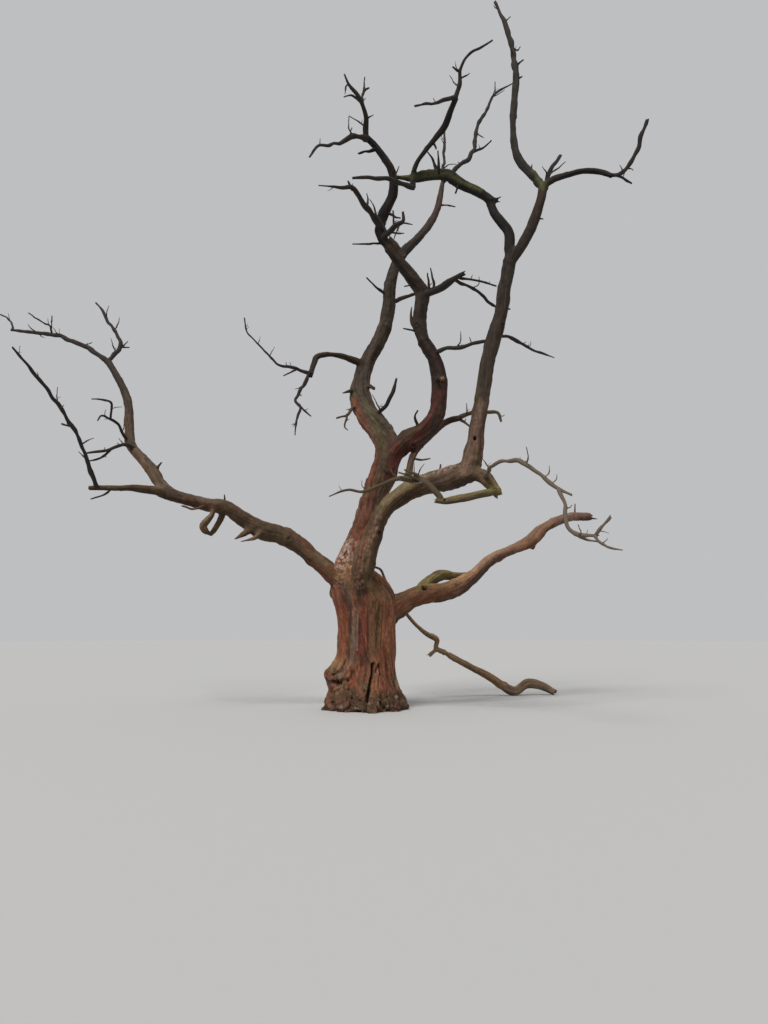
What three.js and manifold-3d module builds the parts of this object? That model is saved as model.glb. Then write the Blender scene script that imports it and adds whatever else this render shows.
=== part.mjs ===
// Dead tree that still stands in the open: a short thick trunk with a burl and a root flare, the
// crooked limbs that rise from its fork, one broken limb that leans on it, and the last few twigs.
// Millimetres, +Z up. The origin is the middle of the flat cut at ground level, +X runs to the right
// of the view that the limbs were read from, and +Y runs away from it.

import * as THREE from "three";
import Module from "manifold-3d";

const wasm = await Module();
wasm.setup();

const METRE = 1000;

// The view that the limbs are read from: where the eye stands and how far it looks up
const EYE = { distance: 15.5, height: 1.55, right: 0.36, tilt: THREE.MathUtils.degToRad(8.46) };
const VIEW = { width: 768, height: 1024, focal: 780 };

// How much deeper the crown opens out, front and back, than the depths noted for its limbs, from the
// depth at which it has opened fully
const OPENING = { extra: 0.8, full: 0.8 };

// Clearance between two pieces of wood that meet
const GAP = 0.3;

// Trunk, in metres: its outline from the cut upwards, as height, middle across and half width
const TRUNK = {
  outline: [
    { height: 0, middle: 0.0, half: 0.755 },
    { height: 0.12, middle: 0.0, half: 0.75 },
    { height: 0.3, middle: -0.01, half: 0.69 },
    { height: 0.5, middle: -0.01, half: 0.63 },
    { height: 0.7, middle: 0.0, half: 0.585 },
    { height: 0.95, middle: 0.015, half: 0.55 },
    { height: 1.25, middle: 0.01, half: 0.53 },
    { height: 1.6, middle: 0.01, half: 0.53 },
    { height: 1.9, middle: 0.0, half: 0.56 },
    { height: 2.15, middle: -0.03, half: 0.59 },
    { height: 2.35, middle: -0.1, half: 0.56 },
    { height: 2.55, middle: -0.2, half: 0.46 },
    { height: 2.72, middle: -0.27, half: 0.33 },
  ],
  crown: 2.82,
  depth: 0.93,
  sides: 32,
  flutes: { count: 5, depth: 0.035, turn: 0.6, wind: 0.5 },
  roots: { count: 9, depth: 0.09, reach: 0.45, turn: 0.3 },
  burl: { height: 0.7, tall: 0.15, side: 3.35, wide: 0.42, bulge: 0.2 },
};

// How a limb's tube is drawn: a ring every so many diameters, how far its ends bulge, and an uneven
// section whose long side and whose knob wind round the limb, in radians from end to end
const TUBE = {
  ringPitch: 2.4,
  ringsPerBend: 2,
  endBulge: 0.35,
  oval: { depth: 0.07, wind: 7 },
  knob: { depth: 0.05, wind: -11 },
};

// Short dead twigs that stand out of a mass's stem by rule, between two shares of its length. Pitch
// and length are in stem widths, each with its spread, and the knee and tip are shares of the length.
const TWIG = {
  seed: 100,
  from: 0.2,
  to: 0.95,
  pitch: { least: 6.6, spread: 8.8 },
  length: { least: 1.4, spread: 2.8 },
  knee: { out: 0.55, on: 0.25, girth: 0.75 },
  tip: { out: 1, on: 0.3, girth: 0.35, bend: 0.5 },
  girth: 0.4,
  lift: 0.35,
  thinnest: 0.012,
  sides: 3,
};

// Limbs, from the trunk outwards. A route's points are across and down in the view, then the depth
// in metres behind the trunk. Girths are diameters in metres, spread evenly along the route.
const LIMBS = {
  main_stem: {
    wood: "trunk",
    route: [
      [349, 594, 0.08],
      [350, 560, 0.14],
      [359, 528, 0.2],
      [370, 500, 0.22],
      [379, 480, 0.25],
      [387, 459, 0.25],
      [390, 447, 0.25],
    ],
    girth: [0.64, 0.62, 0.56, 0.51, 0.5, 0.53, 0.52],
  },
  front_bough: {
    wood: "bough",
    route: [
      [361, 612, -0.12],
      [362, 571, -0.42],
      [370, 541, -0.52],
      [385, 511, -0.62],
      [407, 493, -0.74],
      [430, 483, -0.86],
      [452, 477, -0.95],
      [468, 471, -1.0],
    ],
    girth: [0.44, 0.39, 0.42, 0.4, 0.37, 0.36, 0.38, 0.37],
    spurs: [{ route: [[441, 474, -0.9], [440.6, 465, -0.9]], girth: [0.06, 0.03] }],
  },
  left_arm: {
    wood: "bough",
    route: [
      [354, 596, -0.04],
      [328, 571, -0.12],
      [297, 544, -0.22],
      [262, 528, -0.35],
      [225, 508, -0.45],
      [190, 496, -0.52],
      [158, 486, -0.55],
    ],
    girth: [0.54, 0.41, 0.35, 0.3, 0.28, 0.26, 0.25],
    spurs: [
      {
        route: [[214, 508, -0.5], [210, 518, -0.54], [205, 525, -0.56], [202, 531, -0.56]],
        girth: [0.1, 0.09, 0.12, 0.07],
      },
      { route: [[221, 510, -0.4], [216, 526, -0.38], [212.5, 536, -0.36]], girth: [0.1, 0.08, 0.05] },
      { route: [[254, 528, -0.4], [245, 535, -0.44], [237, 539, -0.46]], girth: [0.09, 0.07, 0.03] },
      { route: [[205, 512, -0.55], [195, 509, -0.6], [182, 506, -0.62]], girth: [0.05, 0.04, 0.03] },
      { route: [[224, 504, -0.45], [224.5, 495, -0.45]], girth: [0.05, 0.02] },
    ],
  },
  right_arm: {
    wood: "bough",
    route: [
      [376, 614, 0.0],
      [397, 604, 0.08],
      [422, 594, 0.18],
      [448, 589, 0.32],
      [472, 576, 0.46],
      [489, 562, 0.6],
      [508, 549, 0.74],
      [529, 540, 0.9],
      [545, 525, 1.05],
      [570, 515.5, 1.25],
      [591, 517.5, 1.4],
    ],
    girth: [0.52, 0.46, 0.41, 0.33, 0.27, 0.28, 0.28, 0.3, 0.24, 0.21, 0.15],
    spurs: [
      { route: [[588, 516, 1.4], [597, 519, 1.42]], girth: [0.07, 0.02] },
      { route: [[575, 515, 1.3], [575, 504, 1.3]], girth: [0.05, 0.02] },
      { route: [[536, 541, 0.95], [537, 549, 0.95]], girth: [0.14, 0.07] },
    ],
  },
  back_stem: {
    wood: "trunk",
    route: [
      [391, 451, 0.28],
      [383, 437, 0.34],
      [373, 422, 0.42],
      [364.5, 409, 0.5],
      [360.5, 395, 0.58],
      [361.5, 381, 0.64],
      [366, 363, 0.68],
      [377, 345, 0.7],
      [386, 326, 0.7],
    ],
    girth: [0.5, 0.5, 0.48, 0.44, 0.4, 0.37, 0.35, 0.31, 0.29],
    spurs: [
      { route: [[366, 384, 0.55], [374, 388.5, 0.52]], girth: [0.12, 0.08] },
      { route: [[355, 391, 0.55], [350, 391, 0.48], [343, 393, 0.44]], girth: [0.14, 0.09, 0.02] },
    ],
  },
  inner_stem: {
    wood: "bough",
    route: [
      [388, 452, 0.22],
      [408, 441, 0.1],
      [424, 431, 0.04],
      [435, 417, -0.02],
      [438.5, 398, -0.06],
      [439, 377, -0.1],
      [434, 358, -0.12],
      [424, 341, -0.12],
    ],
    girth: [0.46, 0.41, 0.36, 0.33, 0.31, 0.3, 0.27, 0.27],
    spurs: [
      { route: [[418, 426, 0.0], [415, 416, -0.05], [417.5, 411, -0.05]], girth: [0.07, 0.05, 0.03] },
      { route: [[437, 379, -0.2], [438, 379, -0.3]], girth: [0.1, 0.06] },
    ],
  },
  inner_stem_upper: {
    wood: "bough",
    route: [
      [424, 343, -0.12],
      [419, 325, -0.12],
      [421, 307, -0.12],
      [422.5, 293, -0.13],
      [411, 277, -0.17],
      [389, 248, -0.23],
    ],
    girth: [0.27, 0.26, 0.26, 0.27, 0.25, 0.22],
    spurs: [
      {
        route: [[418, 333, -0.15], [412, 322, -0.18], [411, 313, -0.2], [412, 306.5, -0.2]],
        girth: [0.13, 0.1, 0.06, 0.03],
      },
      { route: [[414, 331, -0.18], [404, 328.6, -0.2]], girth: [0.05, 0.03] },
      { route: [[416, 284, -0.17], [404.7, 286.3, -0.2]], girth: [0.05, 0.025] },
    ],
  },
  inner_stem_top: {
    wood: "dark",
    route: [
      [390, 250, -0.23],
      [380, 232, -0.27],
      [384, 214, -0.33],
      [393.5, 194, -0.42],
      [391.5, 171, -0.52],
      [377, 148, -0.6],
      [366, 137, -0.64],
    ],
    girth: [0.22, 0.2, 0.2, 0.185, 0.16, 0.14, 0.12],
    spurs: [
      { route: [[374, 150, -0.6], [359, 153.5, -0.66]], girth: [0.08, 0.035] },
      { route: [[383, 243, -0.26], [368, 244, -0.3], [353, 244, -0.32]], girth: [0.06, 0.04, 0.025] },
      { route: [[387, 213, -0.36], [396, 217, -0.4], [400, 218, -0.42]], girth: [0.06, 0.05, 0.03] },
    ],
  },
  back_stem_upper: {
    wood: "bough",
    route: [
      [385, 329, 0.7],
      [388.5, 306, 0.74],
      [389.5, 289, 0.76],
      [394, 270, 0.8],
      [403, 254, 0.88],
      [418, 240, 1.0],
      [431, 224, 1.12],
      [439, 208, 1.24],
      [443, 184, 1.4],
    ],
    girth: [0.3, 0.3, 0.26, 0.22, 0.21, 0.2, 0.18, 0.165, 0.12],
    spurs: [
      { route: [[391, 303, 0.78], [402, 298, 0.85], [415, 294, 0.9]], girth: [0.11, 0.1, 0.08] },
      { route: [[404, 258, 0.85], [398, 249, 0.85], [390, 239, 0.85]], girth: [0.15, 0.14, 0.12] },
      { route: [[385, 294, 0.72], [375, 286, 0.65], [367, 278, 0.6]], girth: [0.07, 0.05, 0.03] },
      { route: [[440, 205, 1.24], [455, 206.6, 1.3]], girth: [0.05, 0.03] },
    ],
  },
  tall_bough: {
    wood: "bough",
    route: [
      [466, 478, -1.0],
      [472.5, 455, -1.02],
      [476, 430, -1.03],
      [482, 400, -1.03],
      [487.5, 362, -1.02],
      [494, 336, -1.01],
      [500.8, 311, -1.0],
      [504.5, 286, -1.0],
      [510, 259, -1.0],
    ],
    girth: [0.38, 0.32, 0.27, 0.25, 0.255, 0.25, 0.24, 0.23, 0.25],
    spurs: [{ route: [[505, 308, -1.0], [510, 309, -1.0]], girth: [0.04, 0.02] }],
  },
  right_fork: {
    wood: "bough",
    route: [
      [510, 264, -1.0],
      [519, 250, -1.05],
      [529, 233, -1.09],
      [536, 214, -1.13],
      [541, 199, -1.16],
      [544.5, 183, -1.18],
    ],
    girth: [0.22, 0.2, 0.185, 0.18, 0.17, 0.18],
    spurs: [{ route: [[537, 218, -1.13], [543, 219, -1.14]], girth: [0.05, 0.02] }],
  },
  arching_bough: {
    wood: "dark",
    route: [
      [510, 262, -1.0],
      [509.5, 243, -1.0],
      [507, 228, -1.0],
      [495, 211, -0.99],
      [490, 198, -0.98],
    ],
    girth: [0.2, 0.2, 0.2, 0.185, 0.2],
  },
  arching_bough_end: {
    wood: "dark",
    route: [
      [492, 201, -0.98],
      [478, 192, -0.97],
      [461, 184, -0.95],
      [447, 175, -0.95],
      [428, 175.5, -0.95],
      [410, 178, -0.95],
      [396, 177, -0.95],
    ],
    girth: [0.19, 0.18, 0.175, 0.19, 0.185, 0.16, 0.06],
    spurs: [
      {
        route: [[437, 174, -0.95], [433.5, 160, -0.95], [428, 152.5, -0.95]],
        girth: [0.075, 0.05, 0.03],
      },
      {
        route: [[439, 174, -0.99], [438.5, 163, -1.0], [438, 151.5, -1.0]],
        girth: [0.06, 0.045, 0.025],
      },
      { route: [[458, 186, -0.98], [455.5, 193, -0.98]], girth: [0.05, 0.03] },
    ],
  },
  dark_riser: {
    wood: "dark",
    route: [
      [413, 188, -0.99],
      [413, 176, -1.0],
      [417, 163, -1.06],
      [425, 151.5, -1.14],
      [434.8, 139, -1.22],
      [444.8, 126, -1.3],
      [451.4, 109, -1.36],
      [456, 98, -1.4],
    ],
    girth: [0.1, 0.1, 0.095, 0.095, 0.1, 0.108, 0.105, 0.095],
    spurs: [{ route: [[433, 142, -1.2], [436, 148, -1.2]], girth: [0.06, 0.04] }],
  },
  top_leader: {
    wood: "dark",
    route: [
      [545, 189, -1.16],
      [533, 176, -1.06],
      [519.5, 161, -0.96],
      [514.4, 145, -0.9],
      [513, 124, -0.85],
      [514, 103, -0.8],
      [516, 83, -0.75],
      [516, 66, -0.7],
    ],
    girth: [0.165, 0.155, 0.145, 0.135, 0.125, 0.125, 0.125, 0.12],
    spurs: [
      { route: [[530, 172, -1.04], [532, 165, -1.04]], girth: [0.05, 0.02] },
      { route: [[518, 79, -0.75], [522, 76.5, -0.75]], girth: [0.05, 0.03] },
      { route: [[517, 65, -0.7], [523, 60, -0.7]], girth: [0.06, 0.03] },
    ],
  },
  right_branch: {
    wood: "dark",
    route: [
      [543, 187, -1.18],
      [552, 180, -1.26],
      [566, 175.5, -1.32],
      [583, 171, -1.4],
      [600, 172, -1.46],
      [612, 176, -1.5],
    ],
    girth: [0.13, 0.12, 0.11, 0.1, 0.1, 0.085],
  },
  left_riser: {
    wood: "bough",
    route: [
      [161, 491, -0.55],
      [153, 473, -0.47],
      [143, 459, -0.35],
      [131, 445, -0.2],
      [129.5, 425, 0.0],
      [128, 404, 0.22],
      [121, 384, 0.42],
      [108, 361, 0.65],
    ],
    girth: [0.25, 0.24, 0.215, 0.19, 0.18, 0.17, 0.145, 0.125],
    spurs: [{ route: [[156, 471, -0.45], [161, 463, -0.45]], girth: [0.06, 0.03] }],
  },
  left_spar: {
    wood: "bough",
    route: [
      [163, 489, -0.58],
      [148, 487.5, -0.66],
      [132, 487, -0.76],
      [114, 488, -0.86],
      [89, 488, -1.0],
    ],
    girth: [0.17, 0.145, 0.115, 0.105, 0.075],
    spurs: [
      { route: [[112, 489, -0.86], [103, 495, -0.9], [91, 499, -0.95]], girth: [0.045, 0.035, 0.025] },
    ],
  },
  back_limb: {
    wood: "bough",
    route: [
      [408, 490, -0.72],
      [409, 471, -0.36],
      [415, 452, 0.2],
      [430, 435, 0.42],
      [446, 422, 0.5],
      [461, 417.5, 0.45],
    ],
    girth: [0.16, 0.15, 0.14, 0.15, 0.155, 0.12],
    spurs: [
      { route: [[412, 458, 0.02], [421.5, 460, 0.02], [430, 458.5, 0.02]], girth: [0.05, 0.035, 0.025] },
    ],
  },
  right_knuckle: {
    wood: "bough",
    route: [
      [418, 593, 0.3],
      [429, 580, 0.45],
      [441, 573, 0.58],
      [454, 574, 0.7],
      [465, 573, 0.8],
    ],
    girth: [0.22, 0.19, 0.175, 0.14, 0.09],
  },
  elbow_stub: {
    wood: "bough",
    route: [
      [472, 472, -1.03],
      [483, 477, -1.08],
      [491, 484, -1.13],
      [496, 492, -1.16],
    ],
    girth: [0.27, 0.22, 0.2, 0.17],
  },
  hooked_spar: {
    wood: "mossy",
    route: [
      [499, 491, -1.18],
      [487, 493, -1.22],
      [474, 495.5, -1.24],
      [460, 498, -1.25],
      [446, 501, -1.25],
      [436, 500.5, -1.25],
    ],
    girth: [0.14, 0.13, 0.125, 0.125, 0.12, 0.08],
  },
  hook_branch: {
    wood: "bough",
    route: [
      [365, 364, 0.62],
      [352, 360, 0.58],
      [338, 355.5, 0.5],
      [326, 354.5, 0.45],
      [317, 357, 0.4],
      [314, 364, 0.36],
      [310, 376, 0.3],
    ],
    girth: [0.17, 0.15, 0.12, 0.115, 0.115, 0.11, 0.105],
  },
  leaning_limb: {
    wood: "fallen",
    route: [
      [363, 562, 0.2],
      [375, 567, 0.36],
      [381, 570, 0.45],
      [385, 580, 0.5],
      [392, 593, 0.58],
      [405, 612, 0.72],
      [416, 625, 0.84],
      [427, 634, 0.95],
      [437, 640, 1.04],
      [436, 648, 1.09],
      [446, 653, 1.18],
    ],
    girth: [0.055, 0.06, 0.065, 0.065, 0.07, 0.075, 0.085, 0.11, 0.14, 0.12, 0.14],
    spurs: [{ route: [[437, 649, 1.09], [430, 655, 1.09]], girth: [0.1, 0.1] }],
  },
  fallen_butt: {
    wood: "fallen",
    route: [
      [444, 652, 1.17],
      [465, 664, 1.39],
      [488, 676, 1.59],
      [502, 685.5, 1.67],
      [515, 690.8, 1.69],
      [527, 684, 1.75],
      [540, 685.5, 1.78],
      [553, 691.4, 1.78],
    ],
    girth: [0.15, 0.16, 0.18, 0.2, 0.21, 0.21, 0.21, 0.14],
  },
};

// Masses of twigs. Each has a stem that meets a limb's end or side, the forks that can be told
// apart in the view, and short twigs by rule.
const MASSES = {
  twigs_left_tip: {
    stem: [
      [109, 362, 0.65], [96, 353, 0.7], [80, 345, 0.78], [66, 338, 0.86], [51, 334.5, 0.95],
      [32, 332, 1.08], [12, 330, 1.2],
    ],
    girth: [0.125, 0.11, 0.1, 0.095, 0.09, 0.08, 0.065],
    forks: [
      {
        route: [[13, 330, 1.2], [12, 324, 1.25], [6, 317, 1.3], [-7, 312, 1.35]],
        girth: [0.05, 0.045, 0.04, 0.02],
      },
      {
        route: [[52, 334, 0.94], [50, 326, 0.9], [42, 322, 0.88], [28.6, 313, 0.85]],
        girth: [0.05, 0.045, 0.035, 0.02],
      },
      { route: [[51.5, 328, 0.92], [52, 316, 0.92]], girth: [0.035, 0.02] },
    ],
  },
  twigs_left_fork: {
    stem: [
      [106, 363, 0.66], [114, 355.5, 0.74], [120, 349, 0.8], [119.5, 341, 0.85], [110.7, 326, 0.95],
      [102, 310, 1.02], [96, 303, 1.06],
    ],
    girth: [0.1, 0.095, 0.09, 0.085, 0.07, 0.06, 0.035],
    forks: [{ route: [[120, 347, 0.8], [129, 347.5, 0.8]], girth: [0.05, 0.025] }],
  },
  twigs_left_bend: {
    stem: [
      [129, 442, -0.18], [122.5, 433, -0.28], [118, 424, -0.35], [110.7, 418.5, -0.42],
      [101, 416, -0.48], [98, 420, -0.5],
    ],
    girth: [0.07, 0.06, 0.055, 0.05, 0.045, 0.03],
    forks: [
      {
        route: [[110.7, 419, -0.42], [111, 403, -0.5], [104, 400, -0.55], [92, 399, -0.6]],
        girth: [0.05, 0.05, 0.04, 0.025],
      },
    ],
  },
  twigs_left_knee: {
    stem: [
      [136, 449, -0.28], [124, 444.5, -0.38], [114, 448, -0.45], [104, 451, -0.52],
      [87.5, 453, -0.6],
    ],
    girth: [0.08, 0.07, 0.065, 0.055, 0.03],
    forks: [
      {
        route: [[111, 449.5, -0.46], [102, 457.5, -0.5], [89, 461, -0.55]],
        girth: [0.05, 0.045, 0.025],
      },
    ],
  },
  twigs_left_spar: {
    stem: [
      [97, 487.5, -0.97], [88, 464, -1.1], [78, 436, -1.3], [67, 420, -1.42], [55, 400, -1.58],
      [32, 371, -1.8], [12.5, 347.5, -2.0],
    ],
    girth: [0.09, 0.078, 0.07, 0.066, 0.063, 0.058, 0.03],
    forks: [{ route: [[70, 426, -1.38], [62, 424, -1.4]], girth: [0.04, 0.025] }],
  },
  twigs_hook_left: {
    stem: [
      [313, 373, 0.3], [303, 371.5, 0.25], [289, 367, 0.15], [276.8, 363.8, 0.05],
      [267, 353, -0.02], [256, 342, -0.1], [247, 332, -0.18], [244.5, 318, -0.25],
    ],
    girth: [0.08, 0.075, 0.06, 0.055, 0.045, 0.04, 0.035, 0.02],
    forks: [{ route: [[297, 369.5, 0.2], [284, 375.5, 0.14]], girth: [0.045, 0.025] }],
  },
  twigs_hook_down: {
    stem: [
      [309, 372, 0.28], [306, 380, 0.27], [300.7, 390, 0.25], [295.5, 399, 0.22], [301, 408, 0.2],
      [298.5, 415, 0.16], [295.8, 424, 0.12], [295, 434.7, 0.1],
    ],
    girth: [0.09, 0.08, 0.065, 0.06, 0.06, 0.055, 0.045, 0.02],
    forks: [{ route: [[301, 407, 0.2], [310.5, 416, 0.22]], girth: [0.05, 0.025] }],
  },
  twigs_stem_left: {
    stem: [[358, 402, 0.5], [351, 409, 0.4], [346.5, 415, 0.35], [337, 418, 0.3]],
    girth: [0.09, 0.08, 0.06, 0.03],
    forks: [
      {
        route: [[347, 414, 0.35], [346, 421, 0.34], [345, 427, 0.33], [347.5, 430, 0.33]],
        girth: [0.055, 0.05, 0.04, 0.02],
      },
    ],
  },
  twigs_stem_right: {
    stem: [[375, 416, 0.4], [384, 408, 0.3], [389, 398, 0.24], [393.5, 390, 0.2], [396.4, 379, 0.16]],
    girth: [0.1, 0.09, 0.08, 0.07, 0.05],
    forks: [],
  },
  twigs_inner_top: {
    stem: [
      [366, 141, -0.63], [365.5, 128, -0.67], [365.5, 117, -0.72], [361.5, 103, -0.8],
      [356, 93, -0.85], [348, 83.5, -0.9], [344.5, 74.5, -0.94],
    ],
    girth: [0.11, 0.1, 0.095, 0.085, 0.08, 0.06, 0.03],
    forks: [
      {
        route: [[362, 105, -0.78], [363.5, 92, -0.74], [368.7, 88, -0.72]],
        girth: [0.06, 0.05, 0.035],
      },
      { route: [[363.5, 92, -0.74], [364.7, 77, -0.74]], girth: [0.04, 0.02] },
      { route: [[359.5, 101, -0.82], [351, 95.5, -0.9], [344, 97, -0.95]], girth: [0.05, 0.04, 0.02] },
      { route: [[345.5, 84, -0.9], [345, 94, -0.92]], girth: [0.03, 0.015] },
    ],
  },
  twigs_inner_reach: {
    stem: [
      [368, 138, -0.66], [354, 137, -0.72], [344, 141, -0.78], [329, 145.5, -0.9],
      [319, 146, -0.98], [309.7, 156.8, -1.04],
    ],
    girth: [0.1, 0.09, 0.085, 0.07, 0.06, 0.04],
    forks: [],
  },
  twigs_inner_left: {
    stem: [
      [382, 231, -0.3], [372, 215.5, -0.42], [362, 200, -0.56], [351.5, 187.5, -0.68],
      [337, 187, -0.74], [319, 185.5, -0.8],
    ],
    girth: [0.13, 0.12, 0.105, 0.09, 0.045, 0.025],
    forks: [
      { route: [[353, 190, -0.66], [348.5, 182, -0.7]], girth: [0.07, 0.03] },
      {
        route: [[377, 222, -0.36], [374, 207, -0.36], [370, 199.7, -0.36]],
        girth: [0.05, 0.035, 0.02],
      },
    ],
  },
  twigs_inner_right: {
    stem: [
      [381, 239, -0.28], [388, 232.5, -0.36], [395, 226.5, -0.42], [403, 221.5, -0.48],
      [403, 213, -0.5],
    ],
    girth: [0.125, 0.12, 0.11, 0.09, 0.04],
    forks: [
      { route: [[394, 227, -0.42], [393, 211, -0.46]], girth: [0.045, 0.03] },
      { route: [[402, 223, -0.47], [412, 224.5, -0.5]], girth: [0.04, 0.02] },
      { route: [[399, 225, -0.45], [394, 239, -0.48]], girth: [0.04, 0.02] },
    ],
  },
  twigs_mid_upper: {
    stem: [
      [421, 296, -0.13], [433, 289.5, -0.24], [443, 286, -0.32], [453, 280, -0.4],
      [464, 273.5, -0.45],
    ],
    girth: [0.17, 0.155, 0.14, 0.13, 0.08],
    forks: [
      {
        route: [
          [455, 280, -0.4], [472, 288, -0.3], [484, 297.5, -0.22], [496, 307, -0.15],
          [509, 309, -0.1],
        ],
        girth: [0.075, 0.065, 0.06, 0.05, 0.03],
      },
      {
        route: [[459, 278, -0.42], [477.6, 280.5, -0.36], [496, 286, -0.3]],
        girth: [0.06, 0.05, 0.03],
      },
    ],
  },
  twigs_mid_lower: {
    stem: [
      [432, 354, -0.15], [445, 348.8, -0.28], [460, 348, -0.34], [476, 343.5, -0.38],
      [490, 340, -0.38], [508, 336, -0.34], [520, 342, -0.28], [534, 350, -0.22],
      [554, 357.6, -0.15],
    ],
    girth: [0.11, 0.09, 0.085, 0.075, 0.07, 0.072, 0.06, 0.05, 0.02],
    forks: [],
  },
  twigs_back_top: {
    stem: [[442.5, 186, 1.4], [443.5, 168, 1.52], [444, 150, 1.66], [444.8, 129, 1.8]],
    girth: [0.09, 0.08, 0.07, 0.035],
    forks: [],
  },
  twigs_back_reach: {
    stem: [
      [443, 182, 1.42], [455.7, 167.5, 1.5], [468, 158.5, 1.58], [473, 151, 1.64], [475, 135, 1.72],
      [484.6, 112.8, 1.84], [495.4, 93.7, 1.94], [512, 83.7, 2.0],
    ],
    girth: [0.12, 0.11, 0.1, 0.095, 0.09, 0.08, 0.07, 0.03],
    forks: [
      { route: [[472, 153, 1.62], [483, 147.6, 1.6], [490.9, 141, 1.58]], girth: [0.07, 0.055, 0.04] },
      { route: [[495, 95, 1.93], [495, 82, 1.95]], girth: [0.04, 0.02] },
    ],
  },
  twigs_riser_top: {
    stem: [
      [454.5, 101, -1.39], [458.5, 88, -1.44], [459.5, 77, -1.48], [460, 69, -1.52],
      [466, 57, -1.56], [479.6, 48, -1.6], [492, 40.6, -1.64],
    ],
    girth: [0.095, 0.085, 0.075, 0.06, 0.045, 0.04, 0.03],
    forks: [
      {
        route: [[456, 97, -1.41], [444, 99.5, -1.46], [433, 102.8, -1.52], [415, 106, -1.6]],
        girth: [0.075, 0.065, 0.055, 0.03],
      },
      { route: [[459.5, 72, -1.5], [453, 67, -1.54]], girth: [0.05, 0.03] },
    ],
  },
  twigs_riser_left: {
    stem: [
      [414, 187.5, -0.99], [402, 183.5, -1.04], [392, 179.5, -1.08], [375.3, 178.3, -1.14],
      [352.7, 178, -1.2],
    ],
    girth: [0.1, 0.09, 0.08, 0.07, 0.035],
    forks: [],
  },
  twigs_leader_top: {
    stem: [[516, 70, -0.71], [511.5, 48, -0.65], [508, 28, -0.6], [501.5, 15, -0.55], [495, 2, -0.5]],
    girth: [0.12, 0.11, 0.105, 0.09, 0.05],
    forks: [],
  },
  twigs_right_tip: {
    stem: [
      [609, 175, -1.48], [620, 175, -1.52], [630, 163.5, -1.57], [637, 147.6, -1.62],
      [647, 121, -1.7],
    ],
    girth: [0.085, 0.075, 0.075, 0.08, 0.05],
    forks: [{ route: [[617, 175.5, -1.5], [631, 183, -1.46]], girth: [0.06, 0.03] }],
  },
  twigs_right_spike: {
    stem: [[547, 184, -1.2], [549, 175, -1.18], [553, 165.5, -1.16], [560, 156, -1.12]],
    girth: [0.09, 0.085, 0.075, 0.045],
    forks: [],
  },
  twigs_back_limb: {
    stem: [
      [457, 419, 0.54], [465, 415, 0.46], [475, 412.5, 0.4], [488, 412.3, 0.34], [498, 413, 0.28],
      [501, 421, 0.25],
    ],
    girth: [0.11, 0.1, 0.085, 0.08, 0.07, 0.05],
    forks: [{ route: [[459, 420, 0.5], [469, 425.7, 0.44]], girth: [0.08, 0.05] }],
  },
  twigs_front: {
    stem: [
      [441, 499, -1.24], [433, 489, -1.22], [422, 481.5, -1.2], [411, 479, -1.17],
      [398, 477.3, -1.14], [381, 485, -1.1], [363.6, 491.5, -1.08], [348, 489.5, -1.08],
      [330, 496, -1.06],
    ],
    girth: [0.095, 0.09, 0.085, 0.075, 0.06, 0.055, 0.055, 0.045, 0.025],
    forks: [
      {
        route: [[418, 480.5, -1.18], [413, 474, -1.2], [406, 470.5, -1.22]],
        girth: [0.05, 0.04, 0.025],
      },
    ],
  },
  twigs_arch: {
    stem: [
      [484, 479, -1.09], [489, 470.5, -1.32], [496, 464, -1.5], [509, 460.5, -1.6], [524, 463, -1.72],
      [540, 475, -1.82], [556, 487, -1.9], [571, 494.6, -1.96],
    ],
    girth: [0.09, 0.078, 0.07, 0.068, 0.075, 0.07, 0.06, 0.03],
    forks: [
      {
        route: [
          [558, 488, -1.91], [564, 502, -1.97], [565.7, 514, -2.0], [569, 529, -2.04],
          [577, 534, -2.08], [597, 536, -2.16],
        ],
        girth: [0.06, 0.06, 0.065, 0.072, 0.065, 0.05],
      },
      {
        route: [[595, 536, -2.15], [602.4, 526.7, -2.2], [610, 517.6, -2.24]],
        girth: [0.05, 0.05, 0.045],
      },
      { route: [[595, 536, -2.16], [603, 545, -2.2], [622, 550, -2.26]], girth: [0.05, 0.04, 0.02] },
      {
        route: [[577, 535, -2.07], [587, 540, -2.06], [597, 541.5, -2.06]],
        girth: [0.05, 0.04, 0.025],
      },
    ],
  },
};

// Bare weathered wood by where it stands on the tree
const WOOD = {
  trunk: { color: 0x7f4a38, roughness: 0.85 },
  bough: { color: 0x77604f, roughness: 0.85 },
  dark: { color: 0x3c332a, roughness: 0.9 },
  mossy: { color: 0x8a7b3e, roughness: 0.95 },
  fallen: { color: 0x7c695c, roughness: 0.9 },
  twig: { color: 0x352d27, roughness: 0.9 },
};

// Chance that is the same on every run
function seeded(seed) {
  let state = seed;
  return () => {
    state = (state * 1664525 + 1013904223) % 4294967296;
    return state / 4294967296;
  };
}

// The place that the view shows at a point, with its depth behind the trunk opened out
function seen([across, down, depth]) {
  const back = depth * (1 + OPENING.extra * Math.min(Math.abs(depth) / OPENING.full, 1));
  const right = (across - VIEW.width / 2) / VIEW.focal;
  const rise = (VIEW.height / 2 - down) / VIEW.focal;
  const ahead = Math.cos(EYE.tilt) - rise * Math.sin(EYE.tilt);
  const climb = Math.sin(EYE.tilt) + rise * Math.cos(EYE.tilt);
  const reach = (EYE.distance + back) / ahead;
  const place = new THREE.Vector3(EYE.right + reach * right, back, EYE.height + reach * climb);
  return place.multiplyScalar(METRE);
}

// A value part of the way along an evenly spread list
function along(list, t) {
  const place = t * (list.length - 1);
  const first = Math.min(Math.floor(place), list.length - 2);
  return THREE.MathUtils.lerp(list[first], list[first + 1], place - first);
}

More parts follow.
